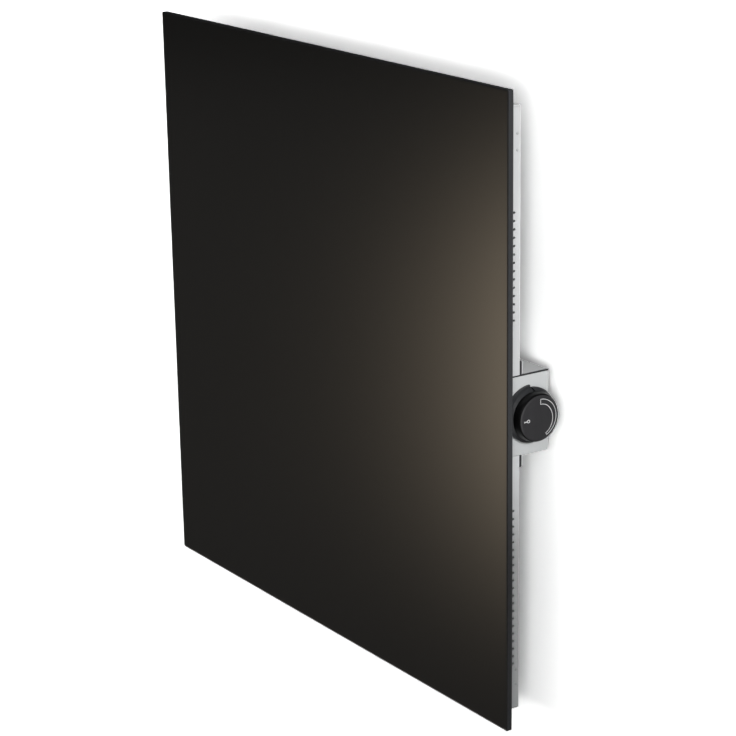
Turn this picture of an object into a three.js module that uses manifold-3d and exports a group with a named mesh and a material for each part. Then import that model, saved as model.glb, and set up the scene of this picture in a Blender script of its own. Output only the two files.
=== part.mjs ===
// Infrared glass panel heater on its wall rail.
// Millimetres. +X to the panel's right seen from the front, +Y into the wall, +Z up.
// Origin: middle of the wall rail's back face, on the wall plane (y = 0).
// Inside the panel group z is counted from the middle of the glass.

import * as THREE from 'three';
import { mergeVertices } from 'three/addons/utils/BufferGeometryUtils.js';
import Module from 'manifold-3d';

const wasm = await Module();
wasm.setup();

// ---------------------------------------------------------------- dimensions
const PANEL_Z = -155;            // middle of the glass below the rail's middle

const GLASS = 600, GLASS_T = 6, GLASS_FRONT = -62, GLASS_ARRIS = 0.5, GLASS_CORNER = 2;
const GLASS_REAR = GLASS_FRONT + GLASS_T;

const GAP = 0.3;                 // clearance between pieces that touch

const CASE_X = 290, CASE_Z = 284, CASE_REAR = -40.4, CASE_FRONT = GLASS_REAR + 0.4, SHEET = 1;
const VENT_R = 1.2, VENT_Y = -47.6, VENT_PITCH = 7.52;
const VENT_UP = [91.5, 14], VENT_DOWN = [-87.8, 21];   // nearest hole to the control, and how many
const RIVET_Y = -44.2, RIVET_Z = [244.6, 259.1];

const FRAME_IN_X = 276, FRAME_IN_Z = 270, FRAME_T = 1.2;

const WIRE_R = 1.3, WIRE_Y = -53.1, ROW_PITCH = 40, ROWS = 14, ROW_X = 250;
const BOARD_X = 280, BOARD_Z = 275, BOARD_FRONT = -50.9, BOARD_REAR = -44.9;
const LEAD_R = 1.1, LEAD_Y = -43.2;
const CUTOUT_X = -200, CUTOUT_Z = 240;

const BOX_X0 = 140, BOX_REAR = -8, BOX_TOP = 40.4, BOX_BOTTOM = -36.9;
const BAY_TOP = 40.1, BAY_BOTTOM = -35.8, BAY_X = 200;
const PLATE_T = 1.5, PLATE_TOP = 38.6, PLATE_BOTTOM = -35.6, PLATE_SEAT = CASE_X - PLATE_T;
const FLANGE_X0 = 115, FLANGE_TOP = 52.8, FLANGE_BOTTOM = -47.8, FLANGE_T = 1.6;

const AXIS_Y = -29.7, AXIS_Z = 1.2;             // control axis, along +X
const SCREW_OFF = 14;                           // thermostat screws above and below the axis
const COLLAR_R = 25.9, COLLAR_TAB_R = 28.4;
const KNOB_BACK_R = 23.3, KNOB_FRONT_R = 22.4, KNOB_BACK = 296.6, KNOB_FRONT = 305.6;

const HANGER_X = 120, HANGER_W = 50, STEEL = 1.5;
const RAIL_W = 360, RAIL_H = 50, LIP_H = 13, LIP_Y = -14;
const SPACER_Z = -200;
const GLAND_X = 164, GLAND_Y = -23.3;

// ---------------------------------------------------------------- helpers
const V = (x, y, z) => new THREE.Vector3(x, y, z);
const rad = THREE.MathUtils.degToRad;

function tidy(geometry) {
  const flat = geometry.index ? geometry.toNonIndexed() : geometry;
  const bare = new THREE.BufferGeometry();
  bare.setAttribute('position', flat.getAttribute('position').clone());
  const g = mergeVertices(bare, 1e-3);
  const p = g.getAttribute('position'), keep = [];
  const a = V(), b = V(), c = V();
  let volume = 0;
  for (let i = 0; i < g.index.count; i += 3) {
    const t = [g.index.getX(i), g.index.getX(i + 1), g.index.getX(i + 2)];
    if (t[0] === t[1] || t[1] === t[2] || t[0] === t[2]) continue;
    a.fromBufferAttribute(p, t[0]); b.fromBufferAttribute(p, t[1]); c.fromBufferAttribute(p, t[2]);
    volume += a.dot(b.clone().cross(c));
    keep.push(...t);
  }
  if (volume < 0) for (let i = 0; i < keep.length; i += 3) [keep[i], keep[i + 1]] = [keep[i + 1], keep[i]];
  g.setIndex(keep);
  return g;
}
function solid(geometry) {
  const g = tidy(geometry);
  return new wasm.Manifold(new wasm.Mesh({
    numProp: 3,
    vertProperties: new Float32Array(g.getAttribute('position').array),
    triVerts: new Uint32Array(g.index.array),
  }));
}
function geometryOf(manifold) {
  const m = manifold.getMesh();
  const n = m.vertProperties.length / m.numProp, pos = new Float32Array(n * 3);
  for (let i = 0; i < n; i++) for (let k = 0; k < 3; k++) pos[3 * i + k] = m.vertProperties[m.numProp * i + k];
  const g = new THREE.BufferGeometry();
  g.setAttribute('position', new THREE.BufferAttribute(pos, 3));
  g.setIndex(Array.from(m.triVerts));
  return g;
}
const join = (...parts) => parts.map(p => solid(p)).reduce((a, b) => a.add(b));
const cut = (body, ...tools) => {
  const start = body instanceof THREE.BufferGeometry ? solid(body) : body;
  return tools.reduce((a, t) => a.subtract(solid(t)), start);
};

const box = (x0, x1, y0, y1, z0, z1) => new THREE.BoxGeometry(x1 - x0, y1 - y0, z1 - z0)
  .translate((x0 + x1) / 2, (y0 + y1) / 2, (z0 + z1) / 2);

// a round or regular prism of radius r from a to b along an axis, centred on the other two
function rod(axis, r, a, b, u, v, n = 12, turn = 0) {
  const g = new THREE.CylinderGeometry(r, r, b - a, n).rotateY(turn).translate(0, (a + b) / 2, 0);
  if (axis === 'x') return g.rotateZ(-Math.PI / 2).translate(0, u, v);
  if (axis === 'y') return g.translate(u, 0, v);
  return g.rotateX(Math.PI / 2).translate(u, v, 0);
}
// profile of [radius, height] pairs turned about an axis through (u, v)
function turned(axis, profile, u, v, n = 24) {
  const closed = profile[0][0] === 0 ? profile : [...profile, profile[0]];
  const g = new THREE.LatheGeometry(closed.map(p => new THREE.Vector2(p[0], p[1])), n);
  if (axis === 'x') return g.rotateZ(-Math.PI / 2).translate(0, u, v);
  if (axis === 'y') return g.translate(u, 0, v);
  return g.rotateX(Math.PI / 2).translate(u, v, 0);
}
// an outline in the named plane, extruded between a and b along the remaining axis
function prism(plane, outline, a, b, holes = []) {
  const shape = new THREE.Shape(outline.map(p => new THREE.Vector2(...p)));
  for (const h of holes) shape.holes.push(new THREE.Path(h.map(p => new THREE.Vector2(...p))));
  const g = new THREE.ExtrudeGeometry(shape, { depth: b - a, bevelEnabled: false, steps: 1, curveSegments: 8 });
  const m = new THREE.Matrix4();
  if (plane === 'xz') m.set(1, 0, 0, 0, 0, 0, 1, a, 0, 1, 0, 0, 0, 0, 0, 1);
  if (plane === 'yz') m.set(0, 0, 1, a, 1, 0, 0, 0, 0, 1, 0, 0, 0, 0, 0, 1);
  if (plane === 'xy') m.set(1, 0, 0, 0, 0, 1, 0, 0, 0, 0, 1, a, 0, 0, 0, 1);
  return g.applyMatrix4(m);
}
const ring = (cx, cy, r, n = 10) => Array.from({ length: n }, (_, i) => {
  const a = 2 * Math.PI * i / n;
  return [cx + r * Math.cos(a), cy + r * Math.sin(a)];
});

// a horizontal slot outline with round ends, its full length and end radius given
const slot = (cx, cy, length, r) => [[0, -90], [1, 90]].flatMap(([side, a0]) => Array.from({ length: 5 }, (_, i) => {
  const a = rad(a0 + 45 * i);
  return [cx + (side ? -1 : 1) * (length / 2 - r) + r * Math.cos(a), cy + r * Math.sin(a)];
}));

// a round wire through sampled points, one section at each sample
class Route extends THREE.Curve {
  constructor(points) { super(); this.points = points; }
  getPoint(t, target = V()) {
    const s = t * (this.points.length - 1), i = Math.min(Math.floor(s), this.points.length - 2);
    return target.copy(this.points[i]).lerp(this.points[i + 1], s - i);
  }
  getPointAt(u, target) { return this.getPoint(u, target); }
  getTangentAt(u, target = V()) {
    const last = this.points.length - 1, i = Math.round(u * last), tan = V();
    if (i > 0) tan.add(this.points[i].clone().sub(this.points[i - 1]).normalize());
    if (i < last) tan.add(this.points[i + 1].clone().sub(this.points[i]).normalize());
    return target.copy(tan.normalize());
  }
  getTangent(t, target) { return this.getTangentAt(t, target); }
}
function wire(points, r, sides = 8) {
  const shape = new THREE.Shape(ring(0, 0, r, sides).map(p => new THREE.Vector2(...p)));
  return new THREE.ExtrudeGeometry(shape, { steps: points.length - 1, bevelEnabled: false, extrudePath: new Route(points) });
}
// corner points rounded with a bend of about the given radius
function bent(corners, bend, n = 4) {
  const c = corners.map(p => V(...p)), out = [c[0]];
  for (let i = 1; i < c.length - 1; i++) {
    const back = c[i - 1].clone().sub(c[i]), on = c[i + 1].clone().sub(c[i]);
    const d = Math.min(bend, back.length() * 0.45, on.length() * 0.45);
    const p0 = c[i].clone().addScaledVector(back.normalize(), d), p2 = c[i].clone().addScaledVector(on.normalize(), d);
    for (let k = 0; k <= n; k++) {
      const t = k / n;
      out.push(p0.clone().multiplyScalar((1 - t) * (1 - t)).addScaledVector(c[i], 2 * t * (1 - t)).addScaledVector(p2, t * t));
    }
  }
  out.push(c[c.length - 1]);
  return out;
}
// a pan-head screw: its seat at s, head towards dir, shank the other way
function screw(axis, dir, s, u, v, headR, headH, shankR, length, n = 10) {
  return turned(axis, [[0, s + dir * headH], [headR * 0.72, s + dir * headH], [headR, s + dir * headH * 0.55], [headR, s],
    [shankR, s], [shankR, s - dir * length], [0, s - dir * length]], u, v, n);
}

const object = new THREE.Group();
const panel = new THREE.Group();
panel.position.set(0, 0, PANEL_Z);
object.add(panel);

function node(group, name, shape, color, roughness, metalness, extra = {}) {
  const raw = shape instanceof THREE.BufferGeometry ? tidy(shape) : geometryOf(shape);
  const g = raw.toNonIndexed();
  g.computeVertexNormals();
  const mesh = new THREE.Mesh(g, new THREE.MeshStandardMaterial({ color, roughness, metalness, ...extra }));
  mesh.name = name;
  group.add(mesh);
  return mesh;
}

// ---------------------------------------------------------------- glass front
{
  const h = GLASS / 2, r = GLASS_CORNER, pts = [];
  for (const [sx, sy, a0] of [[1, 1, 0], [-1, 1, 90], [-1, -1, 180], [1, -1, 270]])
    for (let k = 0; k <= 3; k++) {
      const a = rad(a0 + 30 * k);
      pts.push([sx * (h - r) + r * Math.cos(a), sy * (h - r) + r * Math.sin(a)]);
    }
  const shape = new THREE.Shape(pts.map(p => new THREE.Vector2(...p)));
  const g = new THREE.ExtrudeGeometry(shape, {
    depth: GLASS_T - 2 * GLASS_ARRIS, bevelEnabled: true, bevelThickness: GLASS_ARRIS, bevelSize: GLASS_ARRIS,
    bevelOffset: -GLASS_ARRIS, bevelSegments: 1, steps: 1,
  }).rotateX(Math.PI / 2).translate(0, GLASS_REAR - GLASS_ARRIS, 0);
  node(panel, 'glass_panel', g, 0x14120f, 0.05, 0);
}

// ---------------------------------------------------------------- heating pack behind the glass
const spreader = [GLASS_REAR + GAP, GLASS_REAR + GAP + 1];
node(panel, 'heat_spreader_plate', box(-275, 275, spreader[0], spreader[1], -269, 269), 0xc4c7ca, 0.35, 0.9);

{
  // rows joined by half-round turns; the two middle rows stop short of the control bay
  const pts = [], half = ROW_PITCH / 2;
  const zOf = i => -ROW_PITCH * (ROWS - 1) / 2 + ROW_PITCH * i;
  for (let i = 0; i < ROWS; i++) {
    const z = zOf(i), right = (i === 6 || i === 7) ? 80 : ROW_X;
    const forward = i % 2 === 0;
    const from = forward ? -ROW_X : right, to = forward ? right : -ROW_X;
    if (i === 0) pts.push(V(from, WIRE_Y, z));
    else {
      for (let k = 1; k < 8; k++) {
        const a = rad(-90 + 22.5 * k);
        pts.push(V(from + (forward ? -1 : 1) * half * Math.cos(a), WIRE_Y, z - half + half * Math.sin(a)));
      }
      pts.push(V(from, WIRE_Y, z));
    }
    pts.push(V(to, WIRE_Y, z));
  }
  node(panel, 'heating_element', wire(pts, WIRE_R, 6), 0x9a3b22, 0.6, 0);
}

const packOutline = (x, z) => [[-x, -z], [x, -z], [x, -42], [105, -42], [105, 44.4], [x, 44.4], [x, z], [-x, z]];
const packHoles = () => [
  ring(CUTOUT_X, CUTOUT_Z, 9.6), ring(CUTOUT_X, -CUTOUT_Z, 9.6),
  ring(-258, 260, 4.2, 8), ring(-258, -260, 4.2, 8),
];
node(panel, 'reflector_foil', prism('xz', packOutline(BOARD_X, BOARD_Z), -51.5, -51.2, packHoles()), 0xd9dbde, 0.25, 1);
node(panel, 'insulation_board', prism('xz', packOutline(BOARD_X, BOARD_Z), BOARD_FRONT, BOARD_REAR, packHoles()), 0xe7e2d2, 0.95, 0);

for (const [i, s] of [[1, -1], [2, 1]]) {
  const z = s * CUTOUT_Z;
  node(panel, `thermal_cutout_${i}`, join(
    rod('y', 8.2, spreader[1] + GAP, -53.2, CUTOUT_X, z, 20),
    rod('y', 7.4, -53.4, -46.2, CUTOUT_X, z, 20),
    box(CUTOUT_X - 4.4, CUTOUT_X - 3.6, -46.6, -42.4, z - 3, z + 3),
    box(CUTOUT_X + 3.6, CUTOUT_X + 4.4, -46.6, -42.4, z - 3, z + 3),
  ), 0x2c2a28, 0.5, 0);
}

// ---------------------------------------------------------------- bonded frame and rear casing
{
  const y0 = GLASS_REAR + GAP, y1 = y0 + 1, top = -42.6;
  const ox = CASE_X - SHEET - GAP, oz = CASE_Z - SHEET - GAP;      // outer face of the upright
  const ix = ox - FRAME_T, iz = oz - FRAME_T;
  const rect = (x, z) => [[-x, -z], [x, -z], [x, z], [-x, z]];
  let f = join(
    prism('xz', rect(ox, oz), y0, y1, [rect(FRAME_IN_X, FRAME_IN_Z)]),
    prism('xz', rect(ox, oz), y0, top, [rect(ix, iz)]),
  );
  // behind the side plate and thermostat the upright is left out
  f = cut(f, box(ix - 1, ox + 1, y1, top + 1, -38, 41.4), box(CASE_X - PLATE_T - GAP, ox + 1, y0 - 1, top + 1, -38, 41.4));
  // clear of the vent rows
  for (const sx of [-1, 1]) for (const sz of [-1, 1]) {
    const xs = [sx * (ix - 1), sx * (ox + 1)].sort((a, b) => a - b), zs = sz > 0 ? [88, 200] : [-241, -84];
    f = cut(f, box(xs[0], xs[1], -50.2, top + 1, zs[0], zs[1]));
    for (const z of RIVET_Z) f = cut(f, rod('x', 1.3, xs[0], xs[1], RIVET_Y, sz * z, 6));
  }
  node(panel, 'bonded_frame', f, 0xb9bcc0, 0.4, 0.9);
}
{
  let c = cut(box(-CASE_X, CASE_X, CASE_FRONT, CASE_REAR, -CASE_Z, CASE_Z),
    box(-CASE_X + SHEET, CASE_X - SHEET, CASE_FRONT - 1, CASE_REAR - SHEET, -CASE_Z + SHEET, CASE_Z - SHEET),
    box(CASE_X - 5, CASE_X + 1, CASE_FRONT - 1, CASE_REAR + 1, BAY_BOTTOM, BAY_TOP),
    box(BAY_X, CASE_X + 1, CASE_REAR - SHEET - 1, CASE_REAR + 1, BAY_BOTTOM, BAY_TOP));
  for (const [z0, count] of [VENT_UP, VENT_DOWN]) for (let i = 0; i < count; i++)
    c = c.subtract(solid(rod('x', VENT_R, -CASE_X - 1, CASE_X + 1, VENT_Y, z0 + Math.sign(z0) * VENT_PITCH * i, 6)));
  for (const s of [-1, 1]) for (const z of RIVET_Z)
    c = c.subtract(solid(rod('x', 1.3, -CASE_X - 1, CASE_X + 1, RIVET_Y, s * z, 6)));
  const rear = (x, z, r) => rod('y', r, CASE_REAR - SHEET - 1, CASE_REAR + 1, x, z, 10);
  for (const [x, z] of [[124, 46], [124, -41], [278, 46], [278, -41], [127, -3], [127, 6]]) c = c.subtract(solid(rear(x, z, 1.8)));
  for (const s of [-1, 1]) {
    for (const dx of [-12, 12]) c = c.subtract(solid(rear(s * HANGER_X + dx, 161, 2.2)));
    c = c.subtract(solid(rear(s * 120, SPACER_Z, 3)));
  }
  c = c.subtract(solid(rear(188, -22, 2.4)));
  node(panel, 'rear_casing', c, 0xd3d5d7, 0.5, 0.1);
}
{
  let i = 0;
  for (const sx of [-1, 1]) for (const sz of [-1, 1]) for (const z of RIVET_Z) {
    i += 1;
    const g = turned('x', [[0, 290.9], [0.9, 290.8], [1.5, 290.2], [1.0, 290.2], [1.0, 285.9], [0, 285.9]], RIVET_Y, sz * z, 8);
    if (sx < 0) g.scale(-1, 1, 1);
    node(panel, `casing_rivet_${i}`, g, 0xaeb1b4, 0.4, 0.8);
  }
}

// ---------------------------------------------------------------- control housing
{
  const y0 = CASE_REAR + GAP, y1 = y0 + FLANGE_T;
  const outline = [[FLANGE_X0, FLANGE_BOTTOM], [289.9, FLANGE_BOTTOM], [289.9, PLATE_BOTTOM - GAP], [142, PLATE_BOTTOM - GAP],
    [142, BAY_TOP], [289.9, BAY_TOP], [289.9, FLANGE_TOP], [FLANGE_X0, FLANGE_TOP]];
  const holes = [[124, 46], [124, -41], [278, 46], [278, -41], [127, -3], [127, 6]].map(([x, z]) => ring(x, z, 1.9));
  node(panel, 'housing_flange', prism('xz', outline, y0, y1, holes), 0x151515, 0.55, 0);
  const y2 = y1 + GAP;
  // the two on the right also hold the cover's turned-out lips
  [[124, 46], [124, -41], [278, 46], [278, -41]].forEach(([x, z], k) =>
    node(panel, `flange_screw_${k + 1}`, screw('y', 1, k < 2 ? y1 + GAP : y2 + SHEET + GAP, x, z, 3, 2, 1.5, k < 2 ? 6 : 7), 0xa9acae, 0.35, 0.9));
  const cover = cut(join(
    box(BOX_X0, 289.3, y2, BOX_REAR, BOX_TOP - SHEET, BOX_TOP),
    box(BOX_X0, 289.6, y2, BOX_REAR, BOX_BOTTOM, BOX_BOTTOM + SHEET),
    box(BOX_X0, 288.2, BOX_REAR - SHEET, BOX_REAR, BOX_BOTTOM, BOX_TOP),
    box(BOX_X0, BOX_X0 + SHEET, y2, BOX_REAR, BOX_BOTTOM, BOX_TOP),
    box(119, BOX_X0 + 0.5, y2, y2 + SHEET, -9, 12),
    box(262, 289.6, y2, y2 + SHEET, BOX_TOP - 0.1, FLANGE_TOP - 0.5),
    box(262, 289.6, y2, y2 + SHEET, FLANGE_BOTTOM + 0.5, BOX_BOTTOM + 0.5),
  ),
  rod('y', 1.9, y2 - 1, y2 + 2, 278, 46, 10), rod('y', 1.9, y2 - 1, y2 + 2, 278, -41, 10),
  rod('z', 6.4, BOX_BOTTOM - 1, BOX_BOTTOM + 2, GLAND_X, GLAND_Y, 16),
  rod('z', 1.9, BOX_BOTTOM - 1, BOX_BOTTOM + 2, 278, -16, 10), rod('z', 1.9, BOX_BOTTOM - 1, BOX_BOTTOM + 2, 278, -30, 10),
  rod('y', 1.9, y2 - 1, y2 + 2, 127, -3, 10), rod('y', 1.9, y2 - 1, y2 + 2, 127, 6, 10));
  node(panel, 'control_cover', cover, 0xcfd1d3, 0.5, 0.1);
  // black strip that closes the joint along the side plate's top, against the cover and the casing
  node(panel, 'joint_seal', join(
    box(283.6, PLATE_SEAT - 0.1, y2 + 0.3, BOX_REAR - SHEET - GAP, 36.4, BOX_TOP - SHEET - GAP),
    box(288.3, 290, y2 + 0.3, BOX_REAR - 0.2, PLATE_TOP + 0.1, BOX_TOP - SHEET - GAP),
    box(289.4, 290, y2 + 0.3, BOX_REAR - 0.2, PLATE_TOP + 0.1, BOX_TOP - 0.15),
    box(289.4, 289.9, y2 - 0.2, y2 + 0.4, PLATE_TOP + 0.1, BAY_TOP - 0.1),
    box(288.5, 289.9, -54.6, y2 - 0.1, PLATE_TOP + 0.1, BAY_TOP - 0.1),
  ), 0x111111, 0.9, 0);
  [[127, -3], [127, 6]].forEach(([x, z], k) =>
    node(panel, `cover_screw_${k + 1}`, screw('y', 1, y2 + SHEET + GAP, x, z, 3, 2, 1.5, 7), 0xa9acae, 0.35, 0.9));
}
{
  const x0 = CASE_X - PLATE_T, x1 = CASE_X;
  const plate = cut(join(
    box(x0, x1, CASE_FRONT, BOX_REAR, PLATE_BOTTOM, PLATE_TOP),
    box(266, x0 + 0.5, -36, -10.5, PLATE_BOTTOM, PLATE_BOTTOM + 1.2),
  ),
  rod('x', 7, x0 - 1, x1 + 1, AXIS_Y, AXIS_Z, 20),
  rod('x', 2.2, x0 - 1, x1 + 1, AXIS_Y, AXIS_Z + SCREW_OFF, 10), rod('x', 2.2, x0 - 1, x1 + 1, AXIS_Y, AXIS_Z - SCREW_OFF, 10),
  rod('z', 1.9, PLATE_BOTTOM - 1, PLATE_BOTTOM + 3, 278, -16, 10), rod('z', 1.9, PLATE_BOTTOM - 1, PLATE_BOTTOM + 3, 278, -30, 10));
  node(panel, 'side_plate', plate, 0xcdd0d1, 0.45, 0.1);
  [-16, -30].forEach((y, k) =>
    node(panel, `plate_screw_${k + 1}`, screw('z', -1, BOX_BOTTOM - GAP, 278, y, 3, 2, 1.5, 6), 0xa9acae, 0.35, 0.9));
}

// ---------------------------------------------------------------- thermostat, collar, knob
node(panel, 'thermostat_body', cut(join(
  box(258, 282, AXIS_Y - 18, AXIS_Y + 18, AXIS_Z - 20, AXIS_Z + 20),
  rod('x', 10, 281.5, 287, AXIS_Y, AXIS_Z, 20),
  box(286.7, 288.2, AXIS_Y - 12, AXIS_Y + 12, AXIS_Z - 18, AXIS_Z + 18),
  box(251, 258.5, -24.4, -23.6, -11, -5), box(251, 258.5, -24.4, -23.6, 3, 9),
), rod('x', 3.3, 268, 290, AXIS_Y, AXIS_Z, 16),
rod('x', 1.9, 286, 289, AXIS_Y, AXIS_Z + SCREW_OFF, 10), rod('x', 1.9, 286, 289, AXIS_Y, AXIS_Z - SCREW_OFF, 10)), 0xd8d2c0, 0.5, 0);
[1, -1].forEach((s, k) =>
  node(panel, `thermostat_screw_${k + 1}`, screw('x', 1, CASE_X + GAP, AXIS_Y, AXIS_Z + s * SCREW_OFF, 3.4, 2.2, 1.5, 6.6), 0xa9acae, 0.35, 0.9));

{
  const x0 = CASE_X + GAP;
  const profile = [[18.8, x0], [COLLAR_R - 0.4, x0], [COLLAR_R, x0 + 0.4], [COLLAR_R, 293.7], [COLLAR_R - 0.5, 294.2],
    [23.2, 296.1], [18.8, 296.1]];
  const tab = [];
  for (let a = 93; a <= 148; a += 5) tab.push([AXIS_Y + COLLAR_TAB_R * Math.cos(rad(a)), AXIS_Z + COLLAR_TAB_R * Math.sin(rad(a))]);
  for (let a = 148; a >= 93; a -= 5) tab.push([AXIS_Y + 24 * Math.cos(rad(a)), AXIS_Z + 24 * Math.sin(rad(a))]);
  // index mark: a slot through the rim, turned over along the tab
  const notch = new THREE.BoxGeometry(7, 1.5, 8).rotateX(rad(27)).translate(295.4, AXIS_Y - 0.2, AXIS_Z + 25.4);
  const arm = new THREE.BoxGeometry(2, 4.4, 0.8).translate(293.7, AXIS_Y - 3.1, AXIS_Z + 27.6);
  const collar = cut(join(turned('x', profile, AXIS_Y, AXIS_Z, 32), prism('yz', tab, x0, 293.7)), notch, arm);
  node(panel, 'dial_collar', collar, 0x2b2c2e, 0.5, 0);
}

const knobGroup = new THREE.Group();
panel.add(knobGroup);
knobGroup.position.set(0, AXIS_Y, AXIS_Z);
{
  const skin = turned('x', [[0, KNOB_FRONT], [19.4, KNOB_FRONT], [20.8, KNOB_FRONT - 0.35], [21.9, KNOB_FRONT - 1.2], [KNOB_FRONT_R, KNOB_FRONT - 2.2],
    [KNOB_BACK_R, KNOB_BACK], [KNOB_BACK_R - 2, KNOB_BACK], [19.2, 303.4], [5.6, 303.4], [5.6, 293.2], [0, 293.2]], 0, 0, 32);
  const flat = [];
  for (let a = -222; a <= 42.01; a += 22) flat.push([3.3 * Math.cos(rad(a)), 3.3 * Math.sin(rad(a))]);
  node(knobGroup, 'knob', cut(skin, prism('yz', flat, 292, 302.9)), 0x343436, 0.55, 0);
  const shaft = cut(rod('x', 3, 268.4, 302.6, 0, 0, 16), box(292.4, 303, -4, 4, 1.95, 4));
  node(knobGroup, 'spindle', shaft, 0xb4b6b8, 0.3, 0.95);
}

// ---------------------------------------------------------------- sensor, terminals, earth, gland
{
  const cap = bent([[171, -51.4, AXIS_Z], [196, -51.4, AXIS_Z], [222, -46, -2], [244, -41, -3], [257.7, -41, -3]], 9);
  node(panel, 'sensor_bulb_and_capillary', join(
    turned('x', [[0, 112], [2.2, 112.4], [3, 114], [3, 170], [1.6, 172.5], [0, 172.5]], -51.4, AXIS_Z, 14),
    wire(cap, 0.9, 6),
  ), 0xb87a4a, 0.35, 0.9);
  const arc = (r, a0, a1) => Array.from({ length: 7 }, (_, i) => {
    const a = rad(a0 + (a1 - a0) * i / 6);
    return [-51.4 + r * Math.cos(a), AXIS_Z + r * Math.sin(a)];
  });
  const strap = [[-54.4, AXIS_Z + 9], [-53.8, AXIS_Z + 9], [-53.8, AXIS_Z + 4], ...arc(4, 90, -90), [-53.8, AXIS_Z - 4], [-53.8, AXIS_Z - 9], [-54.4, AXIS_Z - 9],
    [-54.4, AXIS_Z - 3.4], ...arc(3.4, -90, 90), [-54.4, AXIS_Z + 3.4]];
  node(panel, 'bulb_clip', prism('yz', strap, 136, 146), 0xc0c3c6, 0.35, 0.9);
}
{
  const holes = [-8, 2, 12];
  node(panel, 'terminal_block', cut(box(150, 176, CASE_REAR + GAP, -24, -14, 18),
    ...holes.map(z => rod('x', 1.7, 149, 177, -31, z, 8)), ...holes.map(z => rod('y', 2.2, -29, -23, 163, z, 8))), 0xe9e5da, 0.55, 0);
  node(panel, 'earth_stud', turned('y', [[0, -43.6], [4, -43.6], [4, -41.7], [2, -41.7], [2, -31], [0, -31]], 188, -22, 12), 0xa9acae, 0.35, 0.9);
  node(panel, 'earth_nut', cut(rod('y', 4.2, -37.6, -34.6, 188, -22, 6), rod('y', 2.3, -39, -33, 188, -22, 12)), 0xc9a24a, 0.35, 0.9);
  node(panel, 'cable_gland', turned('z', [[3.6, -56], [6.6, -56], [8.2, -53.4], [8.6, -46], [9.4, -45.6], [9.4, BOX_BOTTOM - GAP], [6, BOX_BOTTOM - GAP], [6, -28.6], [3.6, -28.6]],
    GLAND_X, GLAND_Y, 16), 0x1a1a1a, 0.5, 0);
  node(panel, 'gland_nut', cut(rod('z', 9, BOX_BOTTOM + SHEET + GAP, -31.6, GLAND_X, GLAND_Y, 6), rod('z', 6.4, -38, -30, GLAND_X, GLAND_Y, 16)), 0x222222, 0.5, 0);
}

// ---------------------------------------------------------------- internal leads
{
  const lead = (name, corners, color, bend = 5) => node(panel, name, wire(bent(corners, bend, 3), LEAD_R, 6), color, 0.5, 0);
  lead('live_lead', [[168, -31, 2], [214, -31, 2], [236, -26, 6], [250.5, -24, 6]], 0x7a3b1e);
  lead('switched_lead', [[250.5, -24, -8], [228, -26, -8], [208, LEAD_Y, -8], [-150, LEAD_Y, -8], [-186, LEAD_Y, -60], [-186, LEAD_Y, -222], [-194.4, LEAD_Y, -235]], 0x7a3b1e, 10);
  lead('neutral_lead', [[168, -31, 12], [209, -31, 12], [209, LEAD_Y, 16], [186, LEAD_Y, 16], [-150, LEAD_Y, 16], [-186, LEAD_Y, 70], [-186, LEAD_Y, 222], [-194.4, LEAD_Y, 235]], 0x2d4f8a, 5.5);
  lead('earth_lead', [[168, -31, -8], [182, -31, -8], [188, -35, -12], [188, -36, -17.2]], 0x5f8f3a, 3);
  for (const [i, s] of [[1, -1], [2, 1]])
    lead(`element_tail_${i}`, [[-205.6, LEAD_Y, s * 235], [-214, LEAD_Y, s * 232], [-240, LEAD_Y, s * 246], [-258, LEAD_Y, s * 260], [-258, WIRE_Y, s * 260], [-250.6, WIRE_Y, s * 260]], 0xd8d4c8, 3.4);
}

// ---------------------------------------------------------------- hangers and spacers on the casing
for (const [name, s] of [['left', -1], ['right', 1]]) {
  const z0 = -PANEL_Z;                                 // height of the rail's middle in the panel group
  const y0 = CASE_REAR + GAP, lip = LIP_Y + STEEL + GAP, top = RAIL_H / 2 + LIP_H + GAP;
  const outline = [[y0, z0 - 5], [y0, z0 + top + STEEL], [lip + STEEL, z0 + top + STEEL], [lip + STEEL, z0 + RAIL_H / 2 + 2.5], [lip, z0 + RAIL_H / 2 + 2.5],
    [lip, z0 + top], [y0 + STEEL, z0 + top], [y0 + STEEL, z0 - 5]];
  const x0 = s * HANGER_X - HANGER_W / 2;
  node(panel, `hanger_${name}`, cut(prism('yz', outline, x0, x0 + HANGER_W),
    rod('y', 2.2, y0 - 1, y0 + 3, s * HANGER_X - 12, 161, 10), rod('y', 2.2, y0 - 1, y0 + 3, s * HANGER_X + 12, 161, 10)), 0x9da0a3, 0.4, 0.9);
  [-12, 12].forEach((dx, k) => {
    const y = y0 + STEEL + GAP;
    node(panel, `hanger_rivet_${name}_${k + 1}`, turned('y', [[0, y + 1.2], [2, y + 1.1], [3.4, y], [1.9, y], [1.9, -43], [0, -43]], s * HANGER_X + dx, 161, 10), 0xaeb1b4, 0.4, 0.8);
  });
  node(panel, `wall_spacer_${name}`, turned('y', [[0, -43], [2.7, -43], [2.7, y0], [11, y0], [11, -36], [8.6, -4], [8, -GAP], [0, -GAP]], s * 120, SPACER_Z, 20), 0x242424, 0.8, 0);
}

// ---------------------------------------------------------------- wall rail
{
  const h = RAIL_H / 2, t = STEEL;
  const outline = [[0, -h], [0, h], [LIP_Y + t, h], [LIP_Y + t, h + LIP_H], [LIP_Y, h + LIP_H], [LIP_Y, h - t], [-t, h - t], [-t, -h]];
  node(object, 'wall_rail', cut(prism('yz', outline, -RAIL_W / 2, RAIL_W / 2),
    ...[-150, -60, 60, 150].map(x => prism('xz', slot(x, 0, 12, 3.2), -3, 1))), 0x9da0a3, 0.4, 0.9);
}

export default object;
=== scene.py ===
# Infrared glass panel heater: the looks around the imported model.
# Pieces are drawn in millimetres and turned into metres when their mesh is written.
# Panel pieces count z from the middle of the glass, which lies 155 mm below the rail's middle.
import math

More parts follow.
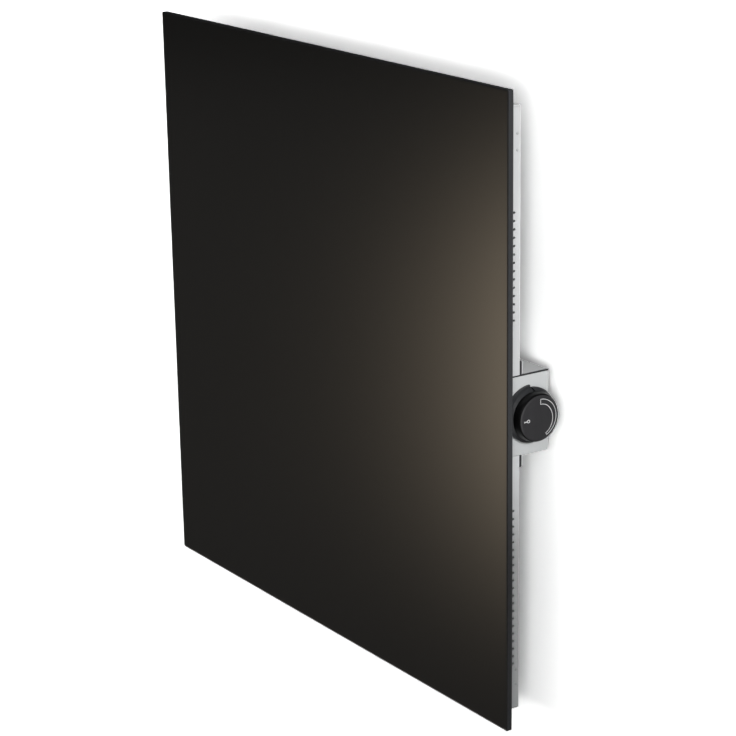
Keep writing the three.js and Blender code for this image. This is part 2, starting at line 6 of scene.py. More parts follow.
import bpy
import bmesh
from mathutils import Matrix, Vector


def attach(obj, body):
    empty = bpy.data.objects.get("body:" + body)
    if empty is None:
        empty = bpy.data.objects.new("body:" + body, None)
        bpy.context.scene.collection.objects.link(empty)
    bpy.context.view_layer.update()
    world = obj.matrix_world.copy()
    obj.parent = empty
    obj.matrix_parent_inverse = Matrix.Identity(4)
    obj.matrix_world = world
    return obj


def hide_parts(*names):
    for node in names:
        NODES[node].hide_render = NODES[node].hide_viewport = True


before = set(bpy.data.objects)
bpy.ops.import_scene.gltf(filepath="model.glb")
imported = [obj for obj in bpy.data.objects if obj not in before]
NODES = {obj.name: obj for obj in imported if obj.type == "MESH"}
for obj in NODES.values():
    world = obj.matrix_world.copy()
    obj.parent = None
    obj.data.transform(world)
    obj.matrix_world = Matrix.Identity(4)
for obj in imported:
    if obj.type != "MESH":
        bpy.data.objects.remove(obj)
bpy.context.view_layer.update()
scene = bpy.context.scene
PANEL_Z = -155.0
rad = math.radians

# ------------------------------------------------------------------ camera
right = Vector((0.563179664, 0.826207071, -0.014510081))
down = Vector((0.242422074, -0.181981700, -0.952950260))
ahead = Vector((-0.789974812, 0.533164644, -0.302779224))
cam_data = bpy.data.cameras.new("camera")
cam_data.sensor_fit = "HORIZONTAL"
cam_data.sensor_width = 36.0
cam_data.lens = 117.19
cam_data.shift_x = -0.012250
cam_data.shift_y = 0.054134
cam_data.clip_start = 0.05
cam_data.clip_end = 60.0
cam = bpy.data.objects.new("camera", cam_data)
turn = Matrix((right, -down, -ahead)).transposed().to_4x4()
turn.translation = Vector((1.915405846, -1.292163852, 0.506729518))
cam.matrix_world = turn
scene.collection.objects.link(cam)
scene.camera = cam
scene.view_settings.view_transform = "Standard"
scene.view_settings.look = "None"
scene.view_settings.exposure = 0.0
scene.view_settings.gamma = 1.0


# ------------------------------------------------------------------ node trees
class Net:
    """Short calls for building a node tree."""

    def __init__(self, tree):
        self.tree = tree
        tree.nodes.clear()
        self._coords = None

    def node(self, kind, inputs=None, **props):
        n = self.tree.nodes.new(kind)
        for key, value in props.items():
            setattr(n, key, value)
        for key, value in (inputs or {}).items():
            socket = n.inputs[key]
            if isinstance(value, bpy.types.NodeSocket):
                self.tree.links.new(value, socket)
            else:
                socket.default_value = value
        return n

    def math(self, op, a, b=0.0, c=None, clamp=False):
        n = self.tree.nodes.new("ShaderNodeMath")
        n.operation = op
        n.use_clamp = clamp
        for i, value in enumerate([a, b] if c is None else [a, b, c]):
            if isinstance(value, bpy.types.NodeSocket):
                self.tree.links.new(value, n.inputs[i])
            else:
                n.inputs[i].default_value = value
        return n.outputs[0]

    def coords(self):
        if self._coords is None:
            self._coords = self.node("ShaderNodeTexCoord").outputs["Object"]
        return self._coords

    def place(self, scale, turn=(0, 0, 0)):
        return self.node("ShaderNodeMapping", {"Vector": self.coords(), "Scale": scale, "Rotation": turn}).outputs[0]

    def noise(self, scale, detail=3.0, rough=0.55, vector=None, distort=0.0):
        return self.node("ShaderNodeTexNoise", {"Vector": vector or self.coords(), "Scale": scale, "Detail": detail,
                                                "Roughness": rough, "Distortion": distort}).outputs[0]

    def cells(self, scale, vector=None, feature="F1", output="Distance", smooth=None):
        n = self.node("ShaderNodeTexVoronoi", {"Vector": vector or self.coords(), "Scale": scale}, feature=feature)
        return n.outputs[output]

    def ramp(self, value, stops, ease="LINEAR"):
        n = self.node("ShaderNodeValToRGB", {"Fac": value})
        r = n.color_ramp
        r.interpolation = ease
        while len(r.elements) < len(stops):
            r.elements.new(0.5)
        for e, (at, colour) in zip(r.elements, stops):
            e.position = at
            e.color = (*colour, 1.0) if len(colour) == 3 else colour
        return n.outputs[0]

    def between(self, value, low, high, lo_in=0.0, hi_in=1.0):
        return self.node("ShaderNodeMapRange", {"Value": value, "From Min": lo_in, "From Max": hi_in,
                                                "To Min": low, "To Max": high}, clamp=True).outputs[0]

    def mix(self, fac, a, b):
        n = self.tree.nodes.new("ShaderNodeMix")
        n.data_type = "RGBA"
        for socket, value in ((n.inputs[0], fac), (n.inputs[6], a), (n.inputs[7], b)):
            if isinstance(value, bpy.types.NodeSocket):
                self.tree.links.new(value, socket)
            elif isinstance(value, tuple):
                socket.default_value = (*value, 1.0)
            else:
                socket.default_value = value
        return n.outputs[2]

    def bump(self, height, strength, distance, after=None):
        inputs = {"Height": height, "Strength": strength, "Distance": distance}
        if after is not None:
            inputs["Normal"] = after
        return self.node("ShaderNodeBump", inputs).outputs[0]


def finish_of(name, build):
    m = bpy.data.materials.new(name)
    m.use_nodes = True
    net = Net(m.node_tree)
    shader = net.node("ShaderNodeBsdfPrincipled")
    out = net.node("ShaderNodeOutputMaterial")
    net.tree.links.new(shader.outputs[0], out.inputs[0])
    build(net, shader)
    return m


def link(net, shader, name, value):
    if isinstance(value, bpy.types.NodeSocket):
        net.tree.links.new(value, shader.inputs[name])
    else:
        shader.inputs[name].default_value = value


def shade(c, k):
    return tuple(max(0.0, min(1.0, x * k)) for x in c)


def painted(name, colour, rough=0.42, peel=0.35, vary=0.035):
    """Powder coat on sheet steel: fine orange peel, slight cloudiness, a few dull specks."""
    def build(net, s):
        cloud = net.noise(9.0, 4.0, 0.6)
        speck = net.cells(1500.0, feature="F1")
        base = net.mix(net.between(cloud, 0.0, 1.0, 0.3, 0.7), shade(colour, 1 - vary), shade(colour, 1 + vary))
        base = net.mix(net.between(speck, 0.10, 0.0, 0.0, 0.16), base, shade(colour, 0.82))
        link(net, s, "Base Color", base)
        link(net, s, "Roughness", net.between(net.noise(60.0, 3.0), rough - 0.05, rough + 0.07, 0.3, 0.7))
        peel_map = net.noise(650.0, 2.0, 0.5)
        wave = net.noise(6.0, 2.0, 0.5)
        link(net, s, "Normal", net.bump(peel_map, peel, 0.00006, net.bump(wave, 0.12, 0.0015)))
        s.inputs["Specular IOR Level"].default_value = 0.45
    return finish_of(name, build)


def moulded(name, colour, rough=0.45, grain=0.5, spec=0.5, vary=0.10):
    """Moulded plastic: spark-eroded texture, faint flow marks."""
    def build(net, s):
        fine = net.noise(2600.0, 2.0, 0.6)
        pits = net.cells(1900.0)
        flow = net.noise(70.0, 4.0, 0.6, vector=net.place((1.0, 2.2, 0.7)))
        base = net.mix(net.between(flow, 0.0, 1.0, 0.32, 0.68), shade(colour, 1 - vary), shade(colour, 1 + vary))
        base = net.mix(net.between(fine, 0.0, 0.35, 0.45, 0.75), base, shade(colour, 1.35))
        link(net, s, "Base Color", base)
        link(net, s, "Roughness", net.between(flow, rough - 0.06, rough + 0.07, 0.3, 0.7))
        link(net, s, "Normal", net.bump(net.math("ADD", fine, net.math("MULTIPLY", pits, 0.6)), grain, 0.00005))
        s.inputs["Specular IOR Level"].default_value = spec
    return finish_of(name, build)


def galvanized(name, colour=(0.56, 0.575, 0.59), rough=0.36):
    """Zinc-coated steel: soft spangle and rolling lines."""
    def build(net, s):
        spangle = net.cells(160.0, output="Color")
        tone = net.node("ShaderNodeSeparateColor", {"Color": spangle}).outputs[0]
        lines = net.noise(30.0, 5.0, 0.7, vector=net.place((0.6, 20.0, 34.0)))
        base = net.mix(net.between(tone, 0.0, 1.0), shade(colour, 0.86), shade(colour, 1.12))
        base = net.mix(net.between(lines, 0.0, 0.4, 0.35, 0.75), base, shade(colour, 0.78))
        link(net, s, "Base Color", base)
        link(net, s, "Roughness", net.between(tone, rough - 0.08, rough + 0.12))
        link(net, s, "Normal", net.bump(lines, 0.15, 0.00004, net.bump(tone, 0.08, 0.00005)))
        s.inputs["Metallic"].default_value = 1.0
    return finish_of(name, build)


def plated(name, colour, rough=0.26, turned_lines=0.3):
    """Turned or pressed metal: fine tool lines and handling marks."""
    def build(net, s):
        scratch = net.noise(420.0, 4.0, 0.7, vector=net.place((1.0, 1.0, 14.0)))
        blot = net.noise(150.0, 3.0, 0.6)
        base = net.mix(net.between(blot, 0.0, 1.0, 0.35, 0.7), shade(colour, 0.85), shade(colour, 1.08))
        link(net, s, "Base Color", base)
        link(net, s, "Roughness", net.between(blot, rough - 0.06, rough + 0.14, 0.3, 0.7))
        link(net, s, "Normal", net.bump(scratch, turned_lines, 0.00003))
        s.inputs["Metallic"].default_value = 1.0
    return finish_of(name, build)


def brushed(name, colour=(0.72, 0.73, 0.75), rough=0.3):
    def build(net, s):
        lines = net.noise(90.0, 6.0, 0.75, vector=net.place((0.25, 9.0, 22.0)))
        cloud = net.noise(7.0, 3.0)
        base = net.mix(net.between(lines, 0.0, 1.0, 0.3, 0.7), shade(colour, 0.86), shade(colour, 1.07))
        link(net, s, "Base Color", base)
        link(net, s, "Roughness", net.between(cloud, rough - 0.05, rough + 0.1, 0.3, 0.7))
        link(net, s, "Normal", net.bump(lines, 0.25, 0.00003))
        s.inputs["Metallic"].default_value = 1.0
    return finish_of(name, build)


def crumpled(name, colour=(0.80, 0.80, 0.81)):
    def build(net, s):
        folds = net.cells(55.0, feature="F1")
        fine = net.noise(260.0, 4.0, 0.65)
        height = net.math("ADD", folds, net.math("MULTIPLY", fine, 0.35))
        link(net, s, "Base Color", net.mix(net.between(fine, 0.0, 1.0, 0.3, 0.7), shade(colour, 0.9), shade(colour, 1.05)))
        link(net, s, "Roughness", net.between(fine, 0.14, 0.34, 0.3, 0.7))
        link(net, s, "Normal", net.bump(height, 0.5, 0.0006))
        s.inputs["Metallic"].default_value = 1.0
    return finish_of(name, build)


def fibrous(name, colour=(0.74, 0.70, 0.60)):
    def build(net, s):
        fibre = net.noise(240.0, 6.0, 0.75, vector=net.place((1.0, 5.0, 2.3), (0.2, 0.4, 0.6)), distort=1.5)
        clump = net.noise(28.0, 4.0, 0.6)
        base = net.mix(net.between(fibre, 0.0, 1.0, 0.3, 0.7), shade(colour, 0.72), shade(colour, 1.1))
        base = net.mix(net.between(clump, 0.0, 0.35, 0.4, 0.7), base, shade(colour, 0.85))
        link(net, s, "Base Color", base)
        link(net, s, "Roughness", net.between(fibre, 0.86, 1.0))
        link(net, s, "Normal", net.bump(fibre, 0.7, 0.0005, net.bump(clump, 0.4, 0.002)))
    return finish_of(name, build)


def sleeved(name, colour, rough=0.4):
    """Cable insulation: smooth extruded skin with faint ripples and dust."""
    def build(net, s):
        ripple = net.noise(900.0, 2.0, 0.5)
        dust = net.noise(120.0, 5.0, 0.7)
        link(net, s, "Base Color", net.mix(net.between(dust, 0.0, 0.5, 0.45, 0.8), colour, shade(colour, 1.4)))
        link(net, s, "Roughness", net.between(dust, rough - 0.05, rough + 0.15, 0.3, 0.7))
        link(net, s, "Normal", net.bump(ripple, 0.25, 0.00006))
    return finish_of(name, build)


def rubbery(name, colour=(0.022, 0.022, 0.023)):
    def build(net, s):
        grain = net.noise(1500.0, 3.0, 0.6)
        bloom = net.noise(90.0, 4.0, 0.6)
        link(net, s, "Base Color", net.mix(net.between(bloom, 0.0, 0.6, 0.4, 0.75), colour, shade(colour, 2.0)))
        link(net, s, "Roughness", net.between(bloom, 0.62, 0.82, 0.3, 0.7))
        link(net, s, "Normal", net.bump(grain, 0.5, 0.00008))
    return finish_of(name, build)


def black_glass(name):
    """The pane with its black-brown print, as seen through the front: smooth, with the lightest film of dust."""
    def build(net, s):
        cloud = net.noise(5.0, 3.0, 0.5)
        film = net.noise(14.0, 4.0, 0.6)
        base = net.mix(net.between(cloud, 0.0, 1.0, 0.3, 0.7), (0.0090, 0.0087, 0.0081), (0.0099, 0.0096, 0.0090))
        link(net, s, "Base Color", base)
        link(net, s, "Roughness", net.between(film, 0.02, 0.035, 0.4, 0.8))
        s.inputs["IOR"].default_value = 1.5
    return finish_of(name, build)


def ground_glass(name, dark, light, rough):
    """The pane's seamed sides: finely ground, grey, with a little sheen."""
    def build(net, s):
        grit = net.noise(2200.0, 3.0, 0.65)
        drag = net.noise(160.0, 5.0, 0.7, vector=net.place((1.0, 12.0, 1.0)))
        link(net, s, "Base Color", net.mix(net.between(drag, 0.0, 1.0, 0.3, 0.7), dark, light))
        link(net, s, "Roughness", net.between(grit, rough - 0.08, rough + 0.08, 0.3, 0.7))
        link(net, s, "Normal", net.bump(grit, 0.35, 0.00003))
        s.inputs["IOR"].default_value = 1.5
    return finish_of(name, build)


def enamel(name):
    """The ceramic print on the back of the pane: black-brown, screened, a trace of pinholes."""
    def build(net, s):
        cloud = net.noise(5.0, 3.0, 0.5)
        pin = net.cells(900.0)
        base = net.mix(net.between(cloud, 0.0, 1.0, 0.3, 0.7), (0.0024, 0.0023, 0.0021), (0.0030, 0.0028, 0.0026))
        base = net.mix(net.between(pin, 0.5, 0.0, 0.0, 0.05), base, (0.005, 0.005, 0.0045))
        link(net, s, "Base Color", base)
        link(net, s, "Roughness", net.between(net.noise(700.0, 3.0), 0.55, 0.7, 0.3, 0.7))
        link(net, s, "Normal", net.bump(net.noise(1200.0, 2.0), 0.2, 0.00002))
        s.inputs["Specular IOR Level"].default_value = 0.15
    return finish_of(name, build)


def printed(name, colour=(0.66, 0.67, 0.68)):
    """Pad-printed ink."""
    def build(net, s):
        edge = net.noise(1800.0, 4.0, 0.7)
        link(net, s, "Base Color", net.mix(net.between(edge, 0.0, 0.6, 0.45, 0.8), colour, shade(colour, 0.75)))
        link(net, s, "Roughness", net.between(edge, 0.45, 0.6, 0.3, 0.7))
        link(net, s, "Normal", net.bump(edge, 0.3, 0.00002))
    return finish_of(name, build)


M = {
    "glass": black_glass("glass_black_printed"),
    "ground": ground_glass("glass_ground_edge", (0.037, 0.038, 0.041), (0.049, 0.050, 0.053), 0.31),
    "arris": ground_glass("glass_polished_arris", (0.0125, 0.0128, 0.0132), (0.0150, 0.0153, 0.0157), 0.16),
    # painted highlight: light-grey copies of the ground finish for the pane's lower and left arris
    "bevel": ground_glass("glass_lower_bevel_painted_highlight", (0.44, 0.44, 0.43), (0.54, 0.54, 0.53), 0.2),
    "bevel_left": ground_glass("glass_left_bevel_painted_highlight", (0.30, 0.30, 0.295), (0.36, 0.36, 0.355), 0.2),
    "print": enamel("glass_back_print"),
    "casing": painted("casing_paint", (0.655, 0.665, 0.67), 0.42),
    "plate": painted("plate_paint", (0.585, 0.600, 0.602), 0.40),
    "flange": moulded("flange_plastic", (0.030, 0.030, 0.032), 0.5),
    "collar": moulded("collar_plastic", (0.0270, 0.0280, 0.0300), 0.42, 0.35, 0.4),
    "knob_face": moulded("knob_face_plastic", (0.0330, 0.0325, 0.0345), 0.42, 0.40, 0.4),
    # the knob's side skirt: black plastic, darkened further with painted shade
    "knob_side": moulded("knob_side_plastic_painted_shade", (0.0030, 0.0030, 0.0032), 0.36, 0.3, 0.20),
    "ink": printed("knob_ink", (0.72, 0.725, 0.73)),
    "zinc": galvanized("zinc_steel"),
    "screw": plated("screw_plating", (0.62, 0.63, 0.64), 0.28),
    "rivet": plated("rivet_metal", (0.60, 0.61, 0.62), 0.36),
    "painted_rivet": painted("rivet_paint", (0.56, 0.57, 0.573), 0.38),
    "brass": plated("brass", (0.72, 0.52, 0.22), 0.28),
    "copper": plated("copper", (0.72, 0.40, 0.26), 0.28),
    "shaft": plated("shaft_steel", (0.60, 0.61, 0.62), 0.22, 0.45),
    "sheet": brushed("aluminium_sheet"),
    "foil": crumpled("foil"),
    "board": fibrous("mineral_board"),
    "cable": sleeved("heating_cable", (0.30, 0.055, 0.030), 0.45),
    "cream": moulded("cream_plastic", (0.66, 0.61, 0.48), 0.4),
    "phenolic": moulded("dark_phenolic", (0.030, 0.024, 0.020), 0.4),
    "brown": sleeved("brown_lead", (0.115, 0.035, 0.014)),
    "blue": sleeved("blue_lead", (0.015, 0.055, 0.24)),
    "green": sleeved("green_lead", (0.10, 0.26, 0.035)),
    "white": sleeved("white_lead", (0.62, 0.60, 0.54)),
    "rubber": rubbery("black_rubber"),
    "gland": moulded("gland_plastic", (0.014, 0.014, 0.015), 0.42),
}


# ------------------------------------------------------------------ mesh code
def fillet(points, radii, steps=4):
    """A closed outline with its corners rounded. radii: one number, or one for each corner."""
    n, out = len(points), []
    for i, p in enumerate(points):
        r = radii[i] if isinstance(radii, (list, tuple)) else radii
        p = Vector(p)
        a, b = Vector(points[i - 1]) - p, Vector(points[(i + 1) % n]) - p
        if r <= 0 or a.length < 1e-6 or b.length < 1e-6:
            out.append(p)
            continue
        a0, b0 = a.normalized(), b.normalized()
        half = a0.angle(b0) / 2
        if half > rad(89):
            out.append(p)
            continue
        reach = min(r / math.tan(half), a.length * 0.48, b.length * 0.48)
        r = reach * math.tan(half)
        centre = p + (a0 + b0).normalized() * (r / math.sin(half))
        s, e = p + a0 * reach - centre, p + b0 * reach - centre
        sweep = s.angle(e)
        sign = 1.0 if s.x * e.y - s.y * e.x > 0 else -1.0
        for k in range(steps + 1):
            t = sign * sweep * k / steps
            out.append(centre + Vector((s.x * math.cos(t) - s.y * math.sin(t), s.x * math.sin(t) + s.y * math.cos(t))))
    return [(v.x, v.y) for v in out]


def axes(axis, r, a, h, u, v):
    """A point at angle a and radius r about an axis through (u, v), at h along it."""
    c, s = r * math.cos(a), r * math.sin(a)
    if axis == "x":
        return (h, u + c, v + s)
    if axis == "y":
        return (u + c, h, v + s)
    return (u + c, v + s, h)


def add_turned(bm, axis, profile, u, v, n=48, material=0, shape=None):
    """Turns a closed (radius, height) profile. Points on the axis have radius 0. shape(angle, index) scales a radius."""
    rings = []
    for i, (r, h) in enumerate(profile):
        if r < 1e-6:
            rings.append([bm.verts.new(axes(axis, 0, 0, h, u, v))])
        else:
            rings.append([bm.verts.new(axes(axis, r * (shape(2 * math.pi * k / n, i) if shape else 1.0), 2 * math.pi * k / n, h, u, v))
                          for k in range(n)])
    faces = []
    closed = len(rings[0]) > 1 or len(rings[-1]) > 1
    pairs = list(zip(rings, rings[1:])) + ([(rings[-1], rings[0])] if closed and len(rings[0]) > 1 and len(rings[-1]) > 1 else [])
    for a, b in pairs:
        if len(a) == 1 and len(b) == 1:
            continue
        for k in range(n):
            j = (k + 1) % n
            if len(a) == 1:
                f = (a[0], b[j], b[k])
            elif len(b) == 1:
                f = (a[k], a[j], b[0])
            else:
                f = (a[k], a[j], b[j], b[k])
            faces.append(bm.faces.new(f))
    for f in faces:
        f.material_index = material
    return faces


def place2(plane, p, h):
    x, y = p
    return {"xz": (x, h, y), "yz": (h, x, y), "xy": (x, y, h)}[plane]


def add_prism(bm, plane, outline, a, b, material=0):
    """A closed outline between a and b along the remaining axis."""
    lo = [bm.verts.new(place2(plane, p, a)) for p in outline]
    hi = [bm.verts.new(place2(plane, p, b)) for p in outline]
    faces = [bm.faces.new(lo), bm.faces.new(list(reversed(hi)))]
    n = len(outline)
    for k in range(n):
        j = (k + 1) % n
        faces.append(bm.faces.new((lo[k], hi[k], hi[j], lo[j])))
    for f in faces:
        f.material_index = material
    return faces


def add_box(bm, x0, x1, y0, y1, z0, z1, material=0):
    return add_prism(bm, "xy", [(x0, y0), (x1, y0), (x1, y1), (x0, y1)], z0, z1, material)


def round_edges(bm, pick, radius, steps=3):
    """Bevels the edges that pick(edge middle, edge direction) chooses."""
    chosen = []
    for e in bm.edges:
        p, q = e.verts[0].co, e.verts[1].co
        d = q - p
        if d.length > 1e-6 and pick((p + q) / 2, d.normalized(), e):
            chosen.append(e)
    if chosen:
        bmesh.ops.bevel(bm, geom=chosen, offset=radius, segments=steps, profile=0.5, affect="EDGES", clamp_overlap=True)


def sharp_edges(bm, radius, steps=2, over=40):
    """Bevels every edge sharper than an angle."""
    bmesh.ops.recalc_face_normals(bm, faces=bm.faces)
    chosen = [e for e in bm.edges if len(e.link_faces) == 2 and e.calc_face_angle(0.0) > rad(over)]
    if chosen:
        bmesh.ops.bevel(bm, geom=chosen, offset=radius, segments=steps, profile=0.5, affect="EDGES", clamp_overlap=True)


def temp(bm):
    bmesh.ops.recalc_face_normals(bm, faces=bm.faces)
    me = bpy.data.meshes.new("tmp")
    bm.to_mesh(me)
    bm.free()
    o = bpy.data.objects.new("tmp", me)
    scene.collection.objects.link(o)
    return o


def carve(bm, *steps):
    """Joins or cuts with other solids, one at a time: steps are (operation, bmesh). Gives a new bmesh back."""
    for op, tool in steps:
        body, t = temp(bm), temp(tool)
        m = body.modifiers.new("b", "BOOLEAN")
        m.operation = op
        m.solver = "EXACT"
        m.object = t
        bpy.context.view_layer.update()
        dg = bpy.context.evaluated_depsgraph_get()
        me = bpy.data.meshes.new_from_object(body.evaluated_get(dg), depsgraph=dg)
        bm = bmesh.new()
        bm.from_mesh(me)
        bpy.data.meshes.remove(me)
        for o in (body, t):
            data = o.data
            bpy.data.objects.remove(o)
            bpy.data.meshes.remove(data)
        bmesh.ops.remove_doubles(bm, verts=bm.verts, dist=1e-4)
    return bm


def piece(name, bm, mats, body="panel", stands_for=(), smooth=32, z=PANEL_Z, tidy=True):
    if tidy:
        bmesh.ops.recalc_face_normals(bm, faces=bm.faces)
    me = bpy.data.meshes.new(name)
    for vert in bm.verts:
        vert.co = Vector((vert.co.x, vert.co.y, vert.co.z + z)) * 0.001
    bm.to_mesh(me)
    bm.free()
    for m in mats:
        me.materials.append(m)
    me.polygons.foreach_set("use_smooth", [True] * len(me.polygons))
    me.set_sharp_from_angle(angle=rad(smooth))
    me.update()
    o = bpy.data.objects.new(name, me)
    scene.collection.objects.link(o)
    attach(o, body)
    if stands_for:
        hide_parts(*([stands_for] if isinstance(stands_for, str) else stands_for))
    return o


def rods(items, n=20):
    """Round cutters: (axis, [(radius, height), ...] from end to end, u, v)."""
    bm = bmesh.new()
    for axis, steps, u, v in items:
        add_turned(bm, axis, [(0, steps[0][1]), *steps, (0, steps[-1][1])], u, v, n)
    return bm


# ------------------------------------------------------------------ glass pane and its print
def rounded_square(half, r, steps=8):
    pts = []
    for sx, sy, a0 in ((1, 1, 0), (-1, 1, 90), (-1, -1, 180), (1, -1, 270)):
        for k in range(steps + 1):
            a = rad(a0 + 90 * k / steps)
            pts.append((sx * (half - r) + r * math.cos(a), sy * (half - r) + r * math.sin(a)))
    return pts


def build_glass():
    bm = bmesh.new()
    levels = [(-62.0, 298.5, 1.0), (-61.97, 299.5, 1.5), (-61.86, 299.68, 1.68), (-61.68, 299.86, 1.86), (-61.5, 300.0, 2.0),
              (-56.5, 300.0, 2.0), (-56.32, 299.86, 1.86), (-56.14, 299.68, 1.68), (-56.0, 299.5, 1.5)]
    loops = [[bm.verts.new((x, y, z)) for x, z in rounded_square(h, r)] for y, h, r in levels]
    bm.faces.new(loops[0]).material_index = 0
    bm.faces.new(list(reversed(loops[-1]))).material_index = 0
    n = len(loops[0])
    for i, (a, b) in enumerate(zip(loops, loops[1:])):
        for k in range(n):
            j = (k + 1) % n
            f = bm.faces.new((a[k], b[k], b[j], a[j]))
            at = f.calc_center_median()
            # painted highlight: the arris along the lower edge and the left one gets light-grey copies of the ground
            # finish, for the light it catches there
            f.material_index = 1 if i == 4 else 3 if i < 3 and at.z < -298.6 else 4 if i < 3 and at.x < -298.6 else 2
    pane = piece("glass_pane", bm, [M["glass"], M["ground"], M["arris"], M["bevel"], M["bevel_left"]], stands_for="glass_panel", smooth=20)
    for f in pane.data.polygons:
        if f.material_index == 0:
            f.use_smooth = False
    bm = bmesh.new()
    add_prism(bm, "xz", rounded_square(299.2, 1.2), -56.2, -56.02)
    piece("glass_print", bm, [M["print"]])


# ------------------------------------------------------------------ rear casing
CASE_X, CASE_Z, CASE_FRONT, CASE_REAR = 290.0, 284.0, -55.6, -40.4
BAY = (-35.8, 40.1)
FLANGE_HOLES = [(124, 46), (124, -41), (278, 46), (278, -41), (127, -3), (127, 6)]


def tray(x0, x1, y0, y1, z0, z1, bend, corner, steps=4):
    """A box open to the front in use: rounded along its rear edges and its four upright corners."""
    bm = bmesh.new()
    add_box(bm, x0, x1, y0, y1, z0, z1)
    round_edges(bm, lambda m, d, e: abs(d.y) > 0.9, corner, steps)
    round_edges(bm, lambda m, d, e: abs(d.y) < 0.1 and abs(m.y - y1) < 1e-3, bend, steps)
    return bm


def build_casing():
    outer = tray(-CASE_X, CASE_X, CASE_FRONT, CASE_REAR, -CASE_Z, CASE_Z, 1.0, 1.2)
    inner = tray(-CASE_X + 1, CASE_X - 1, CASE_FRONT - 3, CASE_REAR - 1, -CASE_Z + 1, CASE_Z - 1, 0.3, 0.4)
    bay1, bay2 = bmesh.new(), bmesh.new()
    add_box(bay1, CASE_X - 5, CASE_X + 2, CASE_FRONT - 2, CASE_REAR + 2, *BAY)
    add_box(bay2, 200, CASE_X - 2, CASE_REAR - 2.5, CASE_REAR + 2, *BAY)
    holes = []
    for first, count in ((91.5, 14), (-87.8, 21)):
        for i in range(count):
            z = first + math.copysign(7.52 * i, first)
            holes.append(("x", [(1.2, 286.0), (1.2, 291.0)], -47.6, z))
            holes.append(("x", [(1.2, -291.0), (1.2, -286.0)], -47.6, z))
    for s in (-1, 1):
        for z in (244.6, 259.1):
            holes.append(("x", [(1.3, 286.0), (1.3, 291.0)], -44.2, s * z))
            holes.append(("x", [(1.3, -291.0), (1.3, -286.0)], -44.2, s * z))
        for dx in (-12, 12):
            holes.append(("y", [(2.2, -43.0), (2.2, -39.0)], s * 120 + dx, 161))
        holes.append(("y", [(3.0, -43.0), (3.0, -39.0)], s * 120, -200))
    for x, z in FLANGE_HOLES:
        holes.append(("y", [(1.8, -43.0), (1.8, -39.0)], x, z))
    holes.append(("y", [(2.4, -43.0), (2.4, -39.0)], 188, -22))
    # the seam at each corner, where the folded side meets the folded top
    seams = bmesh.new()
    for sx in (-1, 1):
        for sz in (-1, 1):
            x0, x1 = sorted((sx * 289.1, sx * 291.0))
            z0, z1 = sorted((sz * 282.3, sz * 282.75))
            add_box(seams, x0, x1, -57.0, -41.6, z0, z1)
    bm = carve(outer, ("DIFFERENCE", inner), ("DIFFERENCE", bay1), ("DIFFERENCE", bay2), ("DIFFERENCE", rods(holes, 18)), ("DIFFERENCE", seams))
    piece("casing_shell", bm, [M["casing"]], stands_for="rear_casing", smooth=28)


def build_rivets():
    i = 0
    for sx in (-1, 1):
        for sz in (-1, 1):
            for z in (244.6, 259.1):
                i += 1
                bm = bmesh.new()
                # domed blind rivet with the hollow left by its pulled pin
                prof = [(0, 290.35), (0.34, 290.38), (0.42, 290.84), (0.62, 290.9), (0.95, 290.84), (1.25, 290.66), (1.45, 290.42),
                        (1.5, 290.22), (1.0, 290.2), (1.0, 286.1), (0.85, 285.95), (0, 285.9)]
                add_turned(bm, "x", [(r, sx * h) for r, h in prof], -44.2, sz * z, 24)
                piece(f"casing_rivet_head_{i}", bm, [M["painted_rivet"]], stands_for=f"casing_rivet_{i}")


# ------------------------------------------------------------------ screws
def screw_mesh(axis, d, seat, u, v, head_r, head_h, shank_r, length):
    """A pan-head screw with a cross recess. d: the way the head points along the axis."""
    bm = bmesh.new()
    top = seat + d * head_h
    prof = [(0, top), (head_r * 0.45, top - d * 0.02 * head_h), (head_r * 0.70, top - d * 0.12 * head_h), (head_r * 0.88, top - d * 0.32 * head_h),
            (head_r * 0.98, top - d * 0.62 * head_h), (head_r, seat + d * 0.14 * head_h), (head_r * 0.97, seat)]
    prof += [(shank_r, seat)]
    turns = int(length / 0.9)
    for k in range(turns):
        a = seat - d * (0.6 + 0.9 * k)
        if (a - (seat - d * (length - 0.9))) * d < 0:
            break
        prof += [(shank_r * 0.82, a), (shank_r, a - d * 0.35), (shank_r, a - d * 0.45)]
    prof += [(shank_r * 0.8, seat - d * (length - 0.3)), (shank_r * 0.5, seat - d * length), (0, seat - d * length)]
    add_turned(bm, axis, prof, u, v, 28)
    cutter = bmesh.new()
    depth, w, reach = head_h * 0.62, head_r * 0.20, head_r * 0.56
    out, deep = top + d * 0.4, top - d * depth
    lo, hi = sorted((out, deep))
    cross = [(w, -reach), (w, -w), (reach, -w), (reach, w), (w, w), (w, reach), (-w, reach), (-w, w), (-reach, w), (-reach, -w), (-w, -w), (-w, -reach)]
    plane = {"x": "yz", "y": "xz", "z": "xy"}[axis]
    turn45 = rad(20)
    cross = [(u + a * math.cos(turn45) - b * math.sin(turn45), v + a * math.sin(turn45) + b * math.cos(turn45)) for a, b in cross]
    add_prism(cutter, plane, cross, lo, hi)
    return carve(bm, ("DIFFERENCE", cutter))


